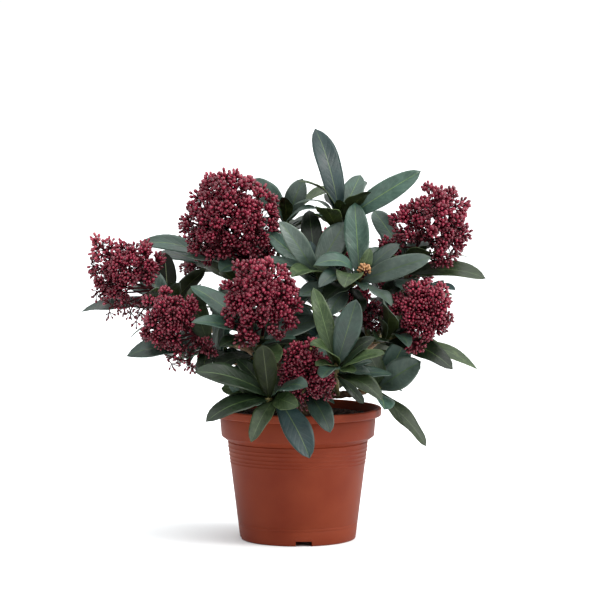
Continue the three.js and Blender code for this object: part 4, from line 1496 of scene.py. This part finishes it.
def potOutline():
    p = potShape
    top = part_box("pot")[1].z / mm
    lipBottom = top - p["lipDepth"]
    outline = [(0, 0, 0), (p["discRadius"], 0, p["recessRound"])]
    outline += [(p["discRadius"] + p["recessSlope"], p["recessTop"], p["recessRound"])]
    outline += [(p["footRingInner"] - p["recessSlope"], p["recessTop"], p["recessRound"])]
    outline += [(p["footRingInner"], 0, p["footRingRound"])]
    outline += [(p["footRadius"] - p["footSlope"], 0, p["footRound"])]
    for z in p["grooves"]:
        outline += ring(z, p["grooveHalf"], -p["grooveIn"])
    for z in p["ribs"]:
        outline += ring(z, p["ribHalf"], p["ribOut"])
    undercutAt = p["shoulderHeight"] - p["grooveHalf"] - p["undercutBelow"]
    outline += ring(undercutAt, p["grooveHalf"], -p["undercut"])
    outline += [(p["shoulderRadius"], p["shoulderHeight"], 0)]
    outline += [(p["collarFoot"], p["collarBottom"], p["collarRound"])]
    outline += [(p["collarRadius"], lipBottom - p["lipSlope"], 0)]
    outline += [(p["collarRadius"] - p["undercut"], lipBottom, 0)]
    outline += [(p["lipRadius"], lipBottom, p["lipRound"])]
    outline += [(p["lipRadius"], top, p["lipRound"]), (p["lipInner"], top, p["lipRound"])]
    outline += [(p["collarRadius"] - p["wall"], lipBottom - p["lipSlope"], p["innerRound"])]
    outline += [(p["collarFoot"] - p["wall"], p["collarBottom"] + p["wall"], p["innerRound"])]
    outline += [(p["shoulderRadius"] - p["wall"], p["shoulderHeight"] + p["wall"], p["shoulderRound"])]
    outline += [(p["footRadius"] - p["wall"], p["floorTop"], p["innerRound"])]
    outline += [(0, p["floorTop"], 0)]
    return outline


def potCutter():  # the drain holes and the notches in the foot ring
    p = potShape
    cutter = bmesh.new()
    for k in range(p["holes"]):
        turn = 2 * pi * (k + 0.5) / p["holes"]
        at = Vector((cos(turn), sin(turn), 0)) * p["holeCircle"] * mm
        bmesh.ops.create_cone(
            cutter, cap_ends=True, segments=24, radius1=p["holeRadius"] * mm, radius2=p["holeRadius"] * mm,
            depth=4 * p["floorTop"] * mm, matrix=Matrix.Translation(at),
        )
    for k in range(p["notches"]):
        turn = Matrix.Rotation(radians(p["notchTurn"] - 90 + 90 * k), 4, "Z")
        size = Matrix.Diagonal((p["lipRadius"] * mm, p["notchWidth"] * mm, 2 * p["recessTop"] * mm, 1))
        out = Matrix.Translation(((p["footRingInner"] + p["lipRadius"] / 2 - p["wall"]) * mm, 0, 0))
        bmesh.ops.create_cube(cutter, size=1, matrix=turn @ out @ size)
    return cutter


def makePot():
    shell = linkedObject("potShell", meshOf(spun(potOutline(), potShape["segments"]), "potShell"))
    cuts = linkedObject("potCuts", meshOf(potCutter(), "potCuts"))
    boolean = shell.modifiers.new("cuts", "BOOLEAN")
    boolean.operation = "DIFFERENCE"
    boolean.solver = "EXACT"
    boolean.object = cuts
    mesh = evaluatedMesh(shell)
    for piece in (cuts, shell):
        bpy.data.objects.remove(piece)
    mesh.name = "potBody"
    mesh.shade_smooth()
    mesh.set_sharp_from_angle(angle=radians(potShape["sharpFrom"]))
    finishPiece("potBody", mesh, potMaterials, ["pot"])


soilShape = {
    "segments": 96,
    "drop": 1.6,
    "edgeDepth": 1.5,
    "rings": 31,
    "gap": 0.3,
    "relief": 1.2,
    "reliefScale": 160,
    "reliefLevel": 0.6,
    "reliefFrom": 0.9,
    "crumbs": 1400,
    "crumbRadius": (0.6, 2.2),
    "crumbSink": 0.6,
    "crumbEdge": 3,
    "crumbLength": (0.7, 1.5),
    "crumbHeight": (0.5, 0.9),
    "seed": 901,
}


def soilBed(top, edge):
    p, s = potShape, soilShape
    outline = [(0, p["floorTop"] + s["gap"], 0)]
    outline += [(p["footRadius"] - p["wall"] - s["gap"], p["floorTop"] + s["gap"], 0)]
    inner = p["wall"] + s["gap"]
    outline += [(p["shoulderRadius"] - inner, p["shoulderHeight"] + inner, 0)]
    outline += [(p["collarFoot"] - inner, p["collarBottom"] + inner, 0)]
    outline += [(edge, top - s["drop"] - s["edgeDepth"], 1)]
    for k in range(s["rings"]):
        outline += [(edge - 1 - 2 * k, top - s["drop"] * (1 - k / s["rings"]) ** 2, 0)]
    outline += [(0, top, 0)]
    bm = spun(outline, s["segments"])
    for vert in bm.verts:
        if vert.co.z > (top - s["drop"] - s["reliefFrom"]) * mm and vert.co.xy.length < (edge - 1) * mm:
            lift = noise.fractal(vert.co * s["reliefScale"], 1, 2, 3) - s["reliefLevel"]
            vert.co.z += s["relief"] * mm * lift
    mesh = meshOf(bm, "soilBed")
    mesh.shade_smooth()
    return mesh


def soilCrumbs(top, edge):
    crumb = bmesh.new()
    bmesh.ops.create_icosphere(crumb, subdivisions=1, radius=1)
    corners, faces = templateOf(crumb)
    s = soilShape
    random = makeRandom(s["seed"])
    blocks = []
    for _ in range(s["crumbs"]):
        around, out = random(0, 2 * pi), sqrt(random()) * (edge - s["crumbEdge"])
        x, y = cos(around) * out, sin(around) * out
        if hypot(x - stem["foot"][0], y - stem["foot"][1]) < stem["footRadius"] + stem["flare"]:
            continue
        size = mix(*s["crumbRadius"], random() ** 3)
        turned = Quaternion((random(-1, 1), random(-1, 1), random(-1, 1)), random(0, 6)).normalized()
        stretch = np.array([size * random(*s["crumbLength"]), size, size * random(*s["crumbHeight"])])
        at = np.array([x, y, top - s["crumbSink"] - s["drop"] * (out / edge) ** 2])
        lump = (corners * stretch) @ np.array(turned.to_matrix()).T + at
        blocks.append((lump, faces, np.zeros(len(faces))))
    return joinedMesh("soilCrumbs", blocks)


def makeSoil():
    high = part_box("soil")[1]
    finishPiece("soilBed", soilBed(high.z / mm, high.x / mm), soilMaterials, ["soil"])
    finishPiece("soilCrumbs", soilCrumbs(high.z / mm, high.x / mm), soilMaterials)


makePot()
makeSoil()
print("pot and compost made")


stageShape = {"size": 400, "floor": "F4F6F7"}


def makeStage():
    bm = bmesh.new()
    bmesh.ops.create_grid(bm, x_segments=1, y_segments=1, size=stageShape["size"] / 2)
    floor = linkedObject("floor", meshOf(bm, "floor"))
    paint = bpy.data.materials.new("floorPaint")
    paint.use_nodes = True
    shader = paint.node_tree.nodes["Principled BSDF"]
    shader.inputs["Base Color"].default_value = colour(stageShape["floor"])
    shader.inputs["Roughness"].default_value = 0.9
    shader.inputs["Specular IOR Level"].default_value = 0
    floor.data.materials.append(paint)


studio = {
    "haze": (0.985, 0.995, 1, 1),
    "horizon": (0.06, 0.16, 1.04, 0.34),
    "overhead": (0.25, 0.95, 0, 1.9),
}


def makeWorld():  # white at the horizon, dim above it and bright overhead, the same all round
    world = bpy.data.worlds.new("studio")
    world.use_nodes = True
    place = addNode(world, "ShaderNodeTexCoord", {})["Generated"]
    height = addNode(world, "ShaderNodeSeparateXYZ", {0: place})["Z"]
    bands = []
    for band in ("horizon", "overhead"):
        start, end, low, high = studio[band]
        sockets = {"Value": height, "From Min": start, "From Max": end, "To Min": low, "To Max": high}
        ramp = addNode(world, "ShaderNodeMapRange", sockets, interpolation_type="SMOOTHSTEP")
        bands.append(ramp["Result"])
    back = world.node_tree.nodes["Background"]
    back.inputs["Color"].default_value = studio["haze"]
    world.node_tree.links.new(worked(world, "ADD", *bands), back.inputs["Strength"])
    bpy.context.scene.world = world


sun = {"from": (0.6, -0.45, 1), "strength": 1.5, "angle": 95}
softbox = {"at": (1.8, -0.7, 1.2), "aim": (0, 0, 0.2), "size": 0.9, "power": 31, "tint": (1, 0.99, 0.97)}


def makeLights():
    lamp = bpy.data.lights.new("sun", "SUN")
    lamp.energy = sun["strength"]
    lamp.angle = radians(sun["angle"])
    holder = linkedObject("sun", lamp)
    holder.rotation_euler = (-Vector(sun["from"])).to_track_quat("-Z", "Y").to_euler()
    lamp = bpy.data.lights.new("softbox", "AREA")
    lamp.size = softbox["size"]
    lamp.energy = softbox["power"]
    lamp.color = softbox["tint"]
    holder = linkedObject("softbox", lamp)
    holder.location = softbox["at"]
    way = Vector(softbox["aim"]) - Vector(softbox["at"])
    holder.rotation_euler = way.to_track_quat("-Z", "Y").to_euler()


cameraSetup = {"at": (1.8, -2200, 350), "pitch": -3.898, "lens": 158.4, "sensor": 36}


def makeCamera():
    lens = bpy.data.cameras.new("camera")
    lens.lens = cameraSetup["lens"]
    lens.sensor_width = cameraSetup["sensor"]
    holder = linkedObject("camera", lens)
    holder.location = Vector(cameraSetup["at"]) * mm
    holder.rotation_euler = (radians(90 + cameraSetup["pitch"]), 0, 0)
    bpy.context.scene.camera = holder


makeStage()
makeWorld()
makeLights()
makeCamera()
bpy.context.scene.view_settings.view_transform = "Standard"
